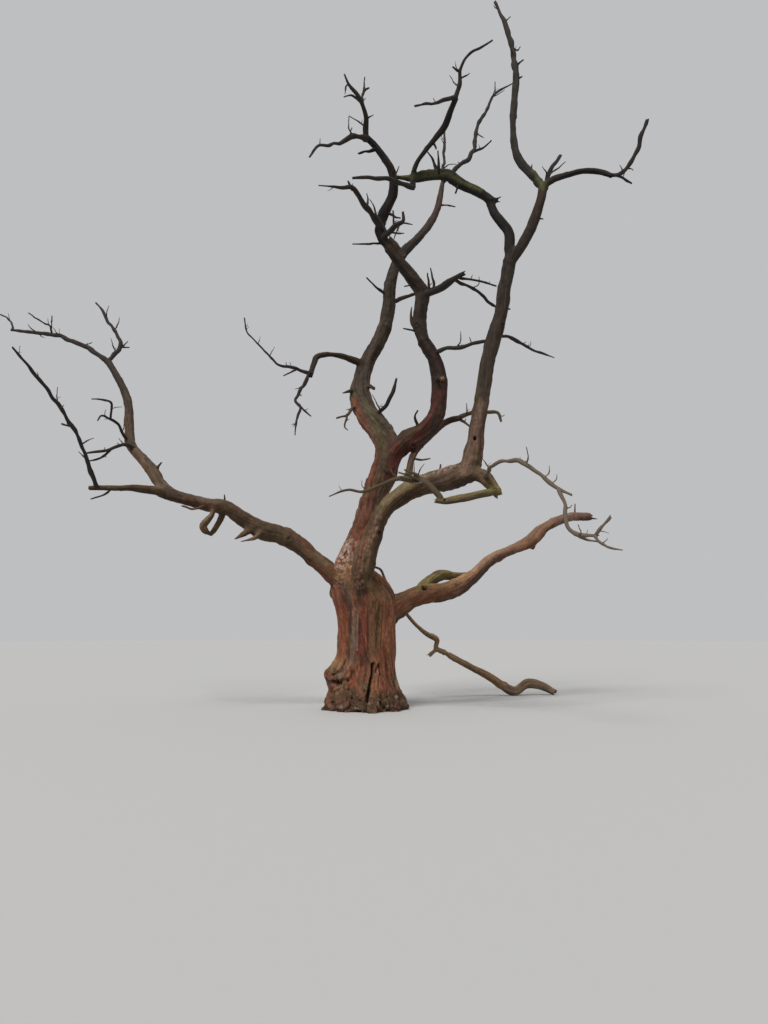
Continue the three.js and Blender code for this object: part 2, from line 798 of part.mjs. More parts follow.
// Closed body from rings of points with a point at either end
function bodyOfRings(rings, tail, tip) {
  const sides = rings[0].length;
  const points = [tail, ...rings.flat(), tip];
  const faces = [];
  const at = (ring, side) => 1 + ring * sides + (side % sides);
  for (let side = 0; side < sides; side += 1) {
    faces.push(0, at(0, side + 1), at(0, side));
    faces.push(points.length - 1, at(rings.length - 1, side), at(rings.length - 1, side + 1));
  }
  for (let ring = 1; ring < rings.length; ring += 1) {
    for (let side = 0; side < sides; side += 1) {
      faces.push(at(ring - 1, side), at(ring - 1, side + 1), at(ring, side + 1));
      faces.push(at(ring - 1, side), at(ring, side + 1), at(ring, side));
    }
  }
  const vertProperties = new Float32Array(points.flatMap((point) => point.toArray()));
  const triVerts = new Uint32Array(faces);
  return new wasm.Manifold(new wasm.Mesh({ numProp: 3, vertProperties, triVerts }));
}

// Sides that a limb needs to look round at its girth, in metres
function sidesFor(girth) {
  if (girth > 0.3) return 10;
  if (girth > 0.16) return 8;
  if (girth > 0.1) return 6;
  if (girth > 0.055) return 4;
  return 3;
}

// Tapering crooked tube through points in millimetres, swollen by an extra margin on every side
function tube(points, girth, margin, sides) {
  const curve = new THREE.CatmullRomCurve3(points, false, "centripetal");
  const mean = girth.reduce((sum, value) => sum + value, 0) / girth.length;
  const wanted = Math.ceil(curve.getLength() / (TUBE.ringPitch * mean * METRE));
  const bends = points.length - 1;
  const steps = THREE.MathUtils.clamp(wanted, bends, TUBE.ringsPerBend * bends);
  const frames = curve.computeFrenetFrames(steps, false);
  const rings = [];
  for (let step = 0; step <= steps; step += 1) {
    const t = step / steps;
    const endShift = (step === steps) - (step === 0);
    const centre = curve.getPointAt(t).addScaledVector(frames.tangents[step], endShift * margin);
    const radius = (along(girth, t) * METRE) / 2;
    const ring = [];
    for (let side = 0; side < sides; side += 1) {
      const angle = (2 * Math.PI * side) / sides;
      const oval = TUBE.oval.depth * Math.cos(2 * angle + TUBE.oval.wind * t);
      const knob = TUBE.knob.depth * Math.cos(angle + TUBE.knob.wind * t);
      const out = frames.normals[step]
        .clone()
        .multiplyScalar(Math.cos(angle))
        .addScaledVector(frames.binormals[step], Math.sin(angle));
      ring.push(centre.clone().addScaledVector(out, radius * (1 + oval + knob) + margin));
    }
    rings.push(ring);
  }
  const endBulge = (t, step, way) => {
    const bulge = (TUBE.endBulge * along(girth, t) * METRE) / 2 + 2 * margin;
    return curve.getPointAt(t).addScaledVector(frames.tangents[step], way * bulge);
  };
  return bodyOfRings(rings, endBulge(0, 0, -1), endBulge(1, steps, 1));
}

// Half width of the trunk in a direction at a height, with its flutes, roots and burl
function trunkHalf(half, height, angle) {
  const { flutes, roots, burl } = TRUNK;
  const spread = Math.exp(-height / roots.reach);
  const fluted = 1 + flutes.depth * Math.cos(flutes.count * angle + flutes.turn + flutes.wind * height);
  const rooted = 1 + roots.depth * spread * Math.cos(roots.count * angle + roots.turn);
  const off = (((angle - burl.side) / burl.wide) ** 2 + ((height - burl.height) / burl.tall) ** 2) / 2;
  return half * fluted * rooted + burl.bulge * Math.exp(-off);
}

// Trunk from the flat cut to the fork
function trunkBody(margin) {
  const rings = TRUNK.outline.map(({ height, middle, half }) => {
    const ring = [];
    for (let side = 0; side < TRUNK.sides; side += 1) {
      const angle = (2 * Math.PI * side) / TRUNK.sides;
      const reach = trunkHalf(half, height, angle) * METRE + margin;
      const x = middle * METRE + reach * Math.cos(angle);
      const y = TRUNK.depth * reach * Math.sin(angle);
      ring.push(new THREE.Vector3(x, y, height * METRE + margin * Math.sign(height)));
    }
    return ring;
  });
  const top = TRUNK.outline.at(-1);
  const tip = new THREE.Vector3(top.middle * METRE, 0, TRUNK.crown * METRE + 2 * margin);
  return bodyOfRings(rings, new THREE.Vector3(0, 0, 0), tip);
}

// A point out to the side of a place on a stem and on along it
function beside(root, side, tangent, { out, on }, reach) {
  return root.clone().addScaledVector(side, out * reach).addScaledVector(tangent, on * reach);
}

// Short twigs that stand out of a stem, with seeded sides, lengths and bends
function strayTwigs(stem, girth, seed) {
  const chance = seeded(seed);
  const between = ({ least, spread }) => least + spread * chance();
  const curve = new THREE.CatmullRomCurve3(stem, false, "centripetal");
  const length = curve.getLength();
  const twigs = [];
  let walked = TWIG.from * length;
  while (walked < TWIG.to * length) {
    const t = walked / length;
    const width = along(girth, t) * METRE;
    const root = curve.getPointAt(t);
    const tangent = curve.getTangentAt(t);
    const side = new THREE.Vector3(chance() - 0.5, chance() - 0.5, TWIG.lift * chance());
    side.addScaledVector(tangent, -side.dot(tangent)).normalize();
    const reach = between(TWIG.length) * width;
    const knee = beside(root, side, tangent, TWIG.knee, reach);
    const tip = beside(root, side, tangent, TWIG.tip, reach);
    const bend = new THREE.Vector3(chance() - 0.5, chance() - 0.5, chance());
    tip.addScaledVector(bend, TWIG.tip.bend * reach);
    const thick = Math.max((TWIG.girth * width) / METRE, TWIG.thinnest);
    const girths = [thick, TWIG.knee.girth * thick, TWIG.tip.girth * thick];
    twigs.push(tube([root, knee, tip], girths, GAP, TWIG.sides));
    walked += between(TWIG.pitch) * width;
  }
  return twigs;
}

// Several bodies fused into one
function fused(bodies) {
  return bodies.reduce((whole, body) => whole.add(body));
}

// True where two bodies' boxes come near each other
function near(a, b) {
  const one = a.boundingBox();
  const two = b.boundingBox();
  return [0, 1, 2].every((axis) => one.min[axis] < two.max[axis] && two.min[axis] < one.max[axis]);
}

// The body with room cut in it for what it meets, and its largest piece kept
function clearOf(body, others) {
  const met = others.filter((other) => near(body, other));
  const cut = met.reduce((left, other) => left.subtract(other), body);
  const pieces = cut.decompose().sort((a, b) => b.volume() - a.volume());
  return pieces[0];
}

// A limb or stem with its side pieces fused on, at its own size or swollen by a margin
function branchBody(route, girth, sidePieces, margin) {
  const pieces = [{ route, girth }, ...sidePieces].map((piece) => {
    return tube(piece.route.map(seen), piece.girth, margin, sidesFor(Math.max(...piece.girth)));
  });
  return fused(pieces);
}

// Named mesh in its own bare wood
function woodMesh(name, body, wood) {
  const { vertProperties, triVerts } = body.getMesh();
  const geometry = new THREE.BufferGeometry();
  geometry.setAttribute("position", new THREE.BufferAttribute(vertProperties, 3));
  geometry.setIndex(new THREE.BufferAttribute(triVerts, 1));
  geometry.computeVertexNormals();
  const material = new THREE.MeshStandardMaterial({ ...WOOD[wood], metalness: 0 });
  const mesh = new THREE.Mesh(geometry, material);
  mesh.name = name;
  return mesh;
}

const tree = new THREE.Group();
const swollen = [trunkBody(GAP)];
tree.add(woodMesh("trunk", trunkBody(0), "trunk"));

for (const [name, { wood, route, girth, spurs = [] }] of Object.entries(LIMBS)) {
  tree.add(woodMesh(name, clearOf(branchBody(route, girth, spurs, 0), swollen), wood));
  swollen.push(branchBody(route, girth, spurs, GAP));
}

Object.entries(MASSES).forEach(([name, { stem, girth, forks }], index) => {
  const touches = (twig) => swollen.some((other) => near(twig, other) && !twig.intersect(other).isEmpty());
  const stray = strayTwigs(stem.map(seen), girth, TWIG.seed + index).filter((twig) => !touches(twig));
  const bare = branchBody(stem, girth, forks, 0);
  tree.add(woodMesh(name, clearOf(fused([bare, ...stray]), swollen), "twig"));
  swollen.push(fused([branchBody(stem, girth, forks, GAP), ...stray]));
});

export default tree;
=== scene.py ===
import math

import bmesh
import bpy
import numpy as np
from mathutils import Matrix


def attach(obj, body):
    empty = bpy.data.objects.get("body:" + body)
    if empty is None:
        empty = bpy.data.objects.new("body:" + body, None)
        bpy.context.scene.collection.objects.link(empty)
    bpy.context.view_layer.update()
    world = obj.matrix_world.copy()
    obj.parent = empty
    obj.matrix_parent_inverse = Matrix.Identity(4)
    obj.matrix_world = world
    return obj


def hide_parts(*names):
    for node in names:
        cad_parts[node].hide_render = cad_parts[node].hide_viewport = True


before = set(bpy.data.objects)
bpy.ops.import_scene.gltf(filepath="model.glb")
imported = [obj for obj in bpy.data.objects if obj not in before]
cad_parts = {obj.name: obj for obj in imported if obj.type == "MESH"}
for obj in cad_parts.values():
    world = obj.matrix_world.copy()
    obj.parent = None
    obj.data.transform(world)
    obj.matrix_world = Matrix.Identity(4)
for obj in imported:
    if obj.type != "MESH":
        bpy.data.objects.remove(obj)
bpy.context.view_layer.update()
print("frame loaded:", len(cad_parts), "nodes")

# Where the limbs were read from. Lengths in metres, the rest in pixels of the 768 x 1024 photo.
view = {
    "distance": 15.5,
    "height": 1.55,
    "right": 0.36,
    "tilt": math.radians(8.46),
    "focal": 780,
    "wide": 768,
    "tall": 1024,
    "sensor": 36,  # millimetres along the tall side
    "far": 500,
}

# How much deeper the crown opens out than the depths noted for its limbs
opening = {"extra": 0.8, "full": 0.8}

# How far a knob's heart strays in its cell, and how far the knob reaches
knob = {"stray": 0.38, "reach": 0.52}

# Numbers that stir a lattice point into a chance value
stir = {"x": 374761393, "y": 668265263, "z": 1440662683, "seed": 974711, "mix": 1274126177,
        "mask": 0xFFFFFFFF, "half": 8388607.5}

# Where each kind of chance starts, and the step from one limb or mass to the next
seeds = {"fused": (50, 1), "collar": (90, 1), "relief": (40, 10), "knots": (700, 1), "tone": (100, 7),
         "spur": (300, 10), "spray": (500, 40), "fine": (1000, 40)}


def seedOf(kind, number):
    start, step = seeds[kind]
    return start + step * number


def stirred(cell, seed):
    # chance from -1 to 1 at whole-number places, the same on every run
    x, y, z = cell.T
    key = (x * stir["x"] + y * stir["y"] + z * stir["z"] + seed * stir["seed"]) & stir["mask"]
    key = ((key ^ (key >> 13)) * stir["mix"]) & stir["mask"]
    key = ((key ^ (key >> 16)) * stir["x"]) & stir["mask"]
    return (key >> 8) / stir["half"] - 1


def noise(places, seed=0):
    # smooth chance from -1 to 1
    cell = np.floor(places).astype(np.int64)
    part = places - cell
    part = part * part * (3 - 2 * part)
    total = np.zeros(len(places))
    for corner in np.ndindex(2, 2, 2):
        total += stirred(cell + corner, seed) * np.where(corner, part, 1 - part).prod(axis=1)
    return total


def knobbly(places, seed=0):
    # round knobs at 1, one to a cell, with creases down to -1 between them
    cell = np.floor(places).astype(np.int64)
    nearest = np.full(len(places), np.inf)
    for shift in np.ndindex(3, 3, 3):
        near = cell + shift - 1
        stray = np.stack([stirred(near, seed + axis) for axis in range(3)], axis=1)
        heart = near + 0.5 + knob["stray"] * stray
        nearest = np.minimum(nearest, np.linalg.norm(heart - places, axis=1))
    return np.clip(1 - (nearest / knob["reach"]) ** 2, -1, 1)


def ridged(places, seed=0):
    # sharp crests at 1 with round valleys between them
    return 1 - 2 * np.abs(noise(places, seed))


def smooth(low, high, value):
    # 0 at low to 1 at high
    t = np.clip((value - low) / (high - low), 0, 1)
    return t * t * (3 - 2 * t)


def unit(vectors):
    return vectors / np.maximum(np.linalg.norm(vectors, axis=-1, keepdims=True), 1e-12)


def seen(points):
    # the places that the photo shows at (across, down, depth behind the trunk)
    across, down, depth = np.array(points, dtype=float).T
    back = depth * (1 + opening["extra"] * np.minimum(np.abs(depth) / opening["full"], 1))
    right = (across - view["wide"] / 2) / view["focal"]
    rise = (view["tall"] / 2 - down) / view["focal"]
    ahead = math.cos(view["tilt"]) - rise * math.sin(view["tilt"])
    climb = math.sin(view["tilt"]) + rise * math.cos(view["tilt"])
    reach = (view["distance"] + back) / ahead
    return np.stack([view["right"] + reach * right, back, view["height"] + reach * climb], axis=1)


def pixelOf(places):
    # where the photo shows a place
    apart = places - np.array([view["right"], -view["distance"], view["height"]])
    ahead = apart[:, 1] * math.cos(view["tilt"]) + apart[:, 2] * math.sin(view["tilt"])
    climb = apart[:, 2] * math.cos(view["tilt"]) - apart[:, 1] * math.sin(view["tilt"])
    across = view["wide"] / 2 + view["focal"] * apart[:, 0] / ahead
    return np.stack([across, view["tall"] / 2 - view["focal"] * climb / ahead], axis=1)


def placed(name, data):
    # a new object in the scene
    thing = bpy.data.objects.new(name, data)
    bpy.context.scene.collection.objects.link(thing)
    return thing


# Camera at the photo's viewing angle
cameraData = bpy.data.cameras.new("photoCamera")
cameraData.sensor_width = view["sensor"]
cameraData.lens = view["sensor"] * view["focal"] / view["tall"]
cameraData.clip_end = view["far"]
camera = placed("photoCamera", cameraData)
camera.location = (view["right"], -view["distance"], view["height"])
camera.rotation_euler = (math.pi / 2 + view["tilt"], 0, 0)
bpy.context.scene.camera = camera

# The trunk's outline from the cut upwards: height, middle across and half width
trunk = {
    "outline": [(0, 0, 0.755), (0.12, 0, 0.75), (0.3, -0.01, 0.69), (0.5, -0.01, 0.63), (0.7, 0, 0.585),
                (0.95, 0.015, 0.55), (1.25, 0.01, 0.53), (1.6, 0.01, 0.53), (1.9, 0, 0.56),
                (2.15, -0.03, 0.59), (2.35, -0.1, 0.56), (2.55, -0.2, 0.46), (2.72, -0.27, 0.33)],
    "crown": 2.82,
    "depth": 0.93,
    "sides": 120,
    "rise": 0.03,  # between two rings
    "step": 0.02,  # along the outline's curve
    "flutes": {"count": 5, "depth": 0.035, "turn": 0.6, "wind": 0.5},
    "roots": {"count": 9, "depth": 0.09, "reach": 0.45, "turn": 0.3},
    "burl": {"height": 0.7, "tall": 0.15, "side": 3.35, "wide": 0.42, "bulge": 0.2},
}

# The limbs from the trunk outwards. A route's points are across and down in the photo, then the depth
# behind the trunk. Girths are diameters, spread evenly along the route. A spur is a route and its girths.
limbs = {
    "main_stem": {
        "wood": "trunk",
        "route": [(349, 594, 0.08), (351.5, 560, 0.14), (364, 528, 0.2), (373, 500, 0.22), (380, 480, 0.25),
                  (387, 459, 0.25), (390, 447, 0.25)],
        "girth": [0.64, 0.61, 0.49, 0.47, 0.49, 0.52, 0.52],
    },
    "front_bough": {
        "wood": "bough",
        "route": [(361, 612, -0.12), (362, 571, -0.42), (370, 541, -0.52), (384, 510, -0.62),
                  (406, 491.5, -0.74), (430, 482, -0.86), (452, 477, -0.95), (468, 471, -1)],
        "girth": [0.44, 0.38, 0.39, 0.35, 0.32, 0.33, 0.37, 0.37],
        "spurs": [
            ([(441, 474, -0.9), (440.6, 465, -0.9)], [0.06, 0.03]),
        ],
    },
    "left_arm": {
        "wood": "bough",
        "route": [(354, 596, -0.04), (328, 570, -0.12), (312, 557, -0.17), (297, 543, -0.22),
                  (280, 535, -0.28), (262, 530.5, -0.35), (243, 520, -0.4), (227, 508.5, -0.45),
                  (208, 505.5, -0.48), (188, 499.5, -0.52), (170, 494, -0.54), (158, 489, -0.55)],
        "girth": [0.54, 0.42, 0.33, 0.3, 0.33, 0.34, 0.32, 0.28, 0.255, 0.24, 0.21, 0.21],
        "spurs": [
            ([(214, 506, -0.5), (212, 514, -0.53), (207.5, 520.5, -0.56), (203, 526, -0.56),
              (205, 530.5, -0.54), (211, 534.5, -0.48)], [0.13, 0.08, 0.12, 0.17, 0.12, 0.06]),
            ([(224, 508, -0.42), (221, 518, -0.4), (216.5, 527, -0.42),
              (211.5, 533.5, -0.47)], [0.15, 0.12, 0.11, 0.11]),
            ([(253, 525, -0.4), (245, 533, -0.44), (235, 539, -0.46)], [0.24, 0.13, 0.02]),
            ([(262, 532, -0.42), (254, 538, -0.46), (241, 541.5, -0.5)], [0.15, 0.075, 0.02]),
            ([(209, 503, -0.5), (195, 509, -0.6), (182, 506, -0.62)], [0.05, 0.045, 0.03]),
            ([(224, 504, -0.45), (224.5, 495, -0.45)], [0.05, 0.02]),
        ],
    },
    "right_arm": {
        "wood": "rightArm",
        "route": [(376, 614, 0), (397, 604, 0.08), (422, 595, 0.18), (448, 591, 0.32), (472, 577, 0.46),
                  (489, 561.5, 0.6), (508, 551, 0.74), (528, 541.5, 0.9), (544, 528, 1.05),
                  (568, 517.5, 1.25), (587, 517, 1.38)],
        "girth": [0.51, 0.42, 0.38, 0.33, 0.235, 0.22, 0.21, 0.27, 0.22, 0.21, 0.2],
        "spurs": [
            ([(584, 517, 1.36), (597, 519, 1.42)], [0.07, 0.02]),
            ([(575, 516, 1.3), (575, 504, 1.3)], [0.05, 0.02]),
            ([(529, 540, 0.92), (532.5, 546.5, 0.93)], [0.22, 0.14]),
        ],
    },
    "back_stem": {
        "wood": "backStem",
        "route": [(391, 451, 0.28), (383, 437, 0.34), (373, 422, 0.42), (364.5, 409, 0.5),
                  (360.5, 395, 0.58), (361.5, 381, 0.64), (366, 363, 0.68), (377, 345, 0.7),
                  (386, 326, 0.7)],
        "girth": [0.5, 0.5, 0.48, 0.44, 0.4, 0.37, 0.35, 0.31, 0.29],
        "spurs": [
            ([(366, 384, 0.55), (374, 388.5, 0.52)], [0.12, 0.08]),
            ([(355, 391, 0.55), (350, 391, 0.48), (343, 393, 0.44)], [0.14, 0.09, 0.02]),
        ],
    },
    "inner_stem": {
        "wood": "innerStem",
        "route": [(386, 472, 0.24), (393, 453, 0.2), (408, 440, 0.12), (424, 430.5, 0.04), (435, 417, -0.02),
                  (438.5, 398, -0.06), (439, 377, -0.1), (434, 358, -0.12), (424, 341, -0.12)],
        "girth": [0.42, 0.43, 0.38, 0.35, 0.33, 0.31, 0.3, 0.27, 0.27],
        "spurs": [
            ([(418, 426, 0), (415, 416, -0.05), (417.5, 411, -0.05)], [0.07, 0.05, 0.03]),
            ([(437, 379, -0.2), (438, 379, -0.3)], [0.1, 0.06]),
        ],
    },
    "inner_stem_upper": {
        "wood": "bough",
        "route": [(424, 343, -0.12), (419, 325, -0.12), (421, 307, -0.12), (422.5, 293, -0.13),
                  (411, 277, -0.17), (389, 248, -0.23)],
        "girth": [0.27, 0.26, 0.26, 0.27, 0.25, 0.22],
        "spurs": [
            ([(418, 333, -0.15), (412, 322, -0.18), (411, 313, -0.2),
              (412, 306.5, -0.2)], [0.13, 0.1, 0.06, 0.03]),
            ([(418, 332, -0.14), (404, 328.6, -0.2)], [0.06, 0.03]),
            ([(416, 284, -0.17), (404.7, 286.3, -0.2)], [0.05, 0.025]),
        ],
    },
    "inner_stem_top": {
        "wood": "dark",
        "route": [(390, 250, -0.23), (380, 232, -0.27), (384, 214, -0.33), (393.5, 194, -0.42),
                  (391.5, 171, -0.52), (377, 148, -0.6), (366, 137, -0.64)],
        "girth": [0.22, 0.2, 0.2, 0.185, 0.16, 0.14, 0.12],
        "spurs": [
            ([(376, 149, -0.6), (359, 153.5, -0.66)], [0.08, 0.035]),
            ([(383, 243, -0.26), (368, 244, -0.3), (353, 244, -0.32)], [0.06, 0.04, 0.025]),
            ([(387, 213, -0.36), (396, 217, -0.4), (400, 218, -0.42)], [0.06, 0.05, 0.03]),
        ],
    },
    "back_stem_upper": {
        "wood": "bough",
        "route": [(385, 329, 0.7), (388.5, 306, 0.74), (389.5, 289, 0.76), (394, 270, 0.8),
                  (403, 254, 0.88), (416.5, 239.5, 1), (429, 224.5, 1.12), (437.5, 207.5, 1.24),
                  (442.5, 184, 1.4)],
        "girth": [0.3, 0.3, 0.26, 0.22, 0.21, 0.2, 0.18, 0.165, 0.12],
        "spurs": [
            ([(391, 303, 0.78), (402, 298, 0.85), (415, 294, 0.9)], [0.11, 0.1, 0.08]),
            ([(404, 258, 0.85), (398, 249, 0.85), (390, 239, 0.85)], [0.15, 0.14, 0.12]),
            ([(385, 294, 0.72), (375, 286, 0.65), (367, 278, 0.6)], [0.07, 0.05, 0.03]),
            ([(440, 205, 1.24), (455, 206.6, 1.3)], [0.05, 0.03]),
        ],
    },
    "tall_bough": {
        "wood": "bough",
        "route": [(466, 478, -1), (472.5, 455, -1.02), (476, 430, -1.03), (482, 400, -1.03),
                  (487.5, 362, -1.02), (494, 336, -1.01), (500.8, 311, -1), (504.5, 286, -1),
                  (510, 259, -1)],
        "girth": [0.38, 0.32, 0.27, 0.25, 0.255, 0.25, 0.24, 0.23, 0.25],
        "spurs": [
            ([(505, 308, -1), (510, 309, -1)], [0.04, 0.02]),
        ],
    },
    "right_fork": {
        "wood": "bough",
        "route": [(510, 264, -1), (519, 250, -1.05), (529, 233, -1.09), (536, 214, -1.13),
                  (541, 199, -1.16), (544.5, 183, -1.18)],
        "girth": [0.2, 0.18, 0.17, 0.165, 0.16, 0.17],
        "spurs": [
            ([(537, 218, -1.13), (543, 219, -1.14)], [0.05, 0.02]),
        ],
    },
    "arching_bough": {
        "wood": "dark",
        "route": [(510, 262, -1), (509.5, 244, -1), (508.5, 231, -1), (502, 222, -1), (494, 213, -0.99),
                  (491, 205, -0.98), (489, 197.5, -0.98)],
        "girth": [0.2, 0.185, 0.175, 0.17, 0.165, 0.165, 0.17],
        "spurs": [
            ([(490.5, 202, -0.98), (497, 200, -0.98)], [0.15, 0.11]),
        ],
    },
    "arching_bough_end": {
        "wood": "dark",
        "route": [(492, 201, -0.98), (478, 192, -0.97), (461, 184, -0.95), (447, 175, -0.95),
                  (428, 175.5, -0.95), (410, 178, -0.95), (396, 177, -0.95)],
        "girth": [0.19, 0.18, 0.175, 0.19, 0.185, 0.16, 0.06],
        "spurs": [
            ([(437, 174, -0.95), (433.5, 160, -0.95), (428, 152.5, -0.95)], [0.075, 0.05, 0.03]),
            ([(439, 174, -0.99), (438.5, 163, -1), (438, 151.5, -1)], [0.06, 0.045, 0.025]),
            ([(459, 184, -0.96), (455.5, 193, -0.98)], [0.06, 0.03]),
        ],
    },
    "dark_riser": {
        "wood": "dark",
        "route": [(413, 188, -0.99), (413, 176, -1), (417, 163, -1.06), (425, 151.5, -1.14),
                  (434.8, 139, -1.22), (444.8, 126, -1.3), (451.4, 109, -1.36), (456, 98, -1.4)],
        "girth": [0.1, 0.1, 0.095, 0.095, 0.1, 0.108, 0.105, 0.095],
        "spurs": [
            ([(433, 142, -1.2), (436, 148, -1.2)], [0.06, 0.04]),
        ],
    },
    "top_leader": {
        "wood": "dark",
        "route": [(545, 189, -1.16), (533, 176, -1.06), (519.5, 161, -0.96), (514.4, 145, -0.9),
                  (513, 124, -0.85), (514, 103, -0.8), (516, 83, -0.75), (516, 66, -0.7)],
        "girth": [0.165, 0.155, 0.145, 0.135, 0.125, 0.125, 0.125, 0.12],
        "spurs": [
            ([(530, 172, -1.04), (532, 165, -1.04)], [0.05, 0.02]),
            ([(538, 182, -1.1), (534, 172, -1.12)], [0.13, 0.1]),
            ([(518, 79, -0.75), (522, 76.5, -0.75)], [0.05, 0.03]),
            ([(517, 65, -0.7), (523, 60, -0.7)], [0.06, 0.03]),
        ],
    },
    "right_branch": {
        "wood": "dark",
        "route": [(543, 187, -1.18), (552, 180, -1.26), (566, 175.5, -1.32), (583, 171, -1.4),
                  (600, 172, -1.46), (612, 176, -1.5)],
        "girth": [0.13, 0.12, 0.11, 0.1, 0.1, 0.085],
    },
    "left_riser": {
        "wood": "bough",
        "route": [(162, 492, -0.55), (154, 474, -0.47), (143, 459, -0.35), (131, 445, -0.2),
                  (129.5, 425, 0), (128, 404, 0.22), (121, 384, 0.42), (108, 361, 0.65)],
        "girth": [0.21, 0.22, 0.2, 0.185, 0.175, 0.165, 0.145, 0.125],
        "spurs": [
            ([(156, 471, -0.45), (161, 463, -0.45)], [0.06, 0.03]),
        ],
    },
    "left_spar": {
        "wood": "bough",
        "route": [(163, 492, -0.58), (149, 490, -0.66), (133, 488, -0.76), (114, 488, -0.86),
                  (89, 488, -1)],
        "girth": [0.17, 0.145, 0.115, 0.105, 0.075],
        "spurs": [
            ([(112, 489, -0.86), (103, 495, -0.9), (91, 499, -0.95)], [0.045, 0.035, 0.025]),
        ],
    },
    "back_limb": {
        "wood": "innerStem",
        "route": [(408, 490, -0.72), (409, 471, -0.36), (415, 452, 0.2), (430, 435, 0.42), (446, 422, 0.5),
                  (461, 417.5, 0.45)],
        "girth": [0.16, 0.15, 0.14, 0.15, 0.155, 0.12],
        "spurs": [
            ([(412, 458, 0.02), (421.5, 460, 0.02), (430, 458.5, 0.02)], [0.05, 0.035, 0.025]),
        ],
    },
    "right_knuckle": {
        "wood": "bough",
        "route": [(418, 594, 0.3), (428, 582, 0.42), (440, 575.5, 0.52), (454, 576, 0.6), (466, 575, 0.66)],
        "girth": [0.25, 0.25, 0.23, 0.19, 0.12],
    },
    "elbow_stub": {
        "wood": "bough",
        "route": [(472, 472, -1.03), (483, 477, -1.08), (491, 484, -1.13), (496, 492, -1.16)],
        "girth": [0.27, 0.22, 0.2, 0.17],
    },
    "hooked_spar": {
        "wood": "mossy",
        "route": [(499, 491, -1.18), (487, 493, -1.22), (474, 495.5, -1.24), (460, 498, -1.25),
                  (446, 501, -1.25), (436, 500.5, -1.25)],
        "girth": [0.14, 0.13, 0.125, 0.125, 0.12, 0.08],
    },
    "hook_branch": {
        "wood": "bough",
        "route": [(365, 364, 0.62), (352, 360, 0.58), (338, 355.5, 0.5), (326, 354.5, 0.45),
                  (317, 357, 0.4), (314, 364, 0.36), (310, 376, 0.3)],
        "girth": [0.17, 0.15, 0.12, 0.115, 0.115, 0.11, 0.105],
    },
    "leaning_limb": {
        "wood": "fallen",
        "route": [(363, 562, 0.2), (375, 567, 0.36), (381, 570, 0.45), (385, 580, 0.5), (392, 593, 0.58),
                  (405, 612, 0.72), (416, 625, 0.84), (427, 634, 0.95), (437, 640, 1.04), (436, 648, 1.09),
                  (446, 653, 1.18)],
        "girth": [0.055, 0.055, 0.06, 0.06, 0.06, 0.062, 0.068, 0.08, 0.11, 0.11, 0.13],
        "spurs": [
            ([(437, 649, 1.09), (430, 655, 1.09)], [0.1, 0.1]),
        ],
    },
    "fallen_butt": {
        "wood": "fallen",
        "route": [(444, 652, 1.17), (465, 664, 1.39), (488, 676, 1.59), (502, 685.5, 1.67),
                  (515, 690.8, 1.69), (527, 684, 1.75), (540, 685.5, 1.78), (553, 691.4, 1.78)],
        "girth": [0.135, 0.14, 0.155, 0.175, 0.2, 0.2, 0.2, 0.13],
    },
}

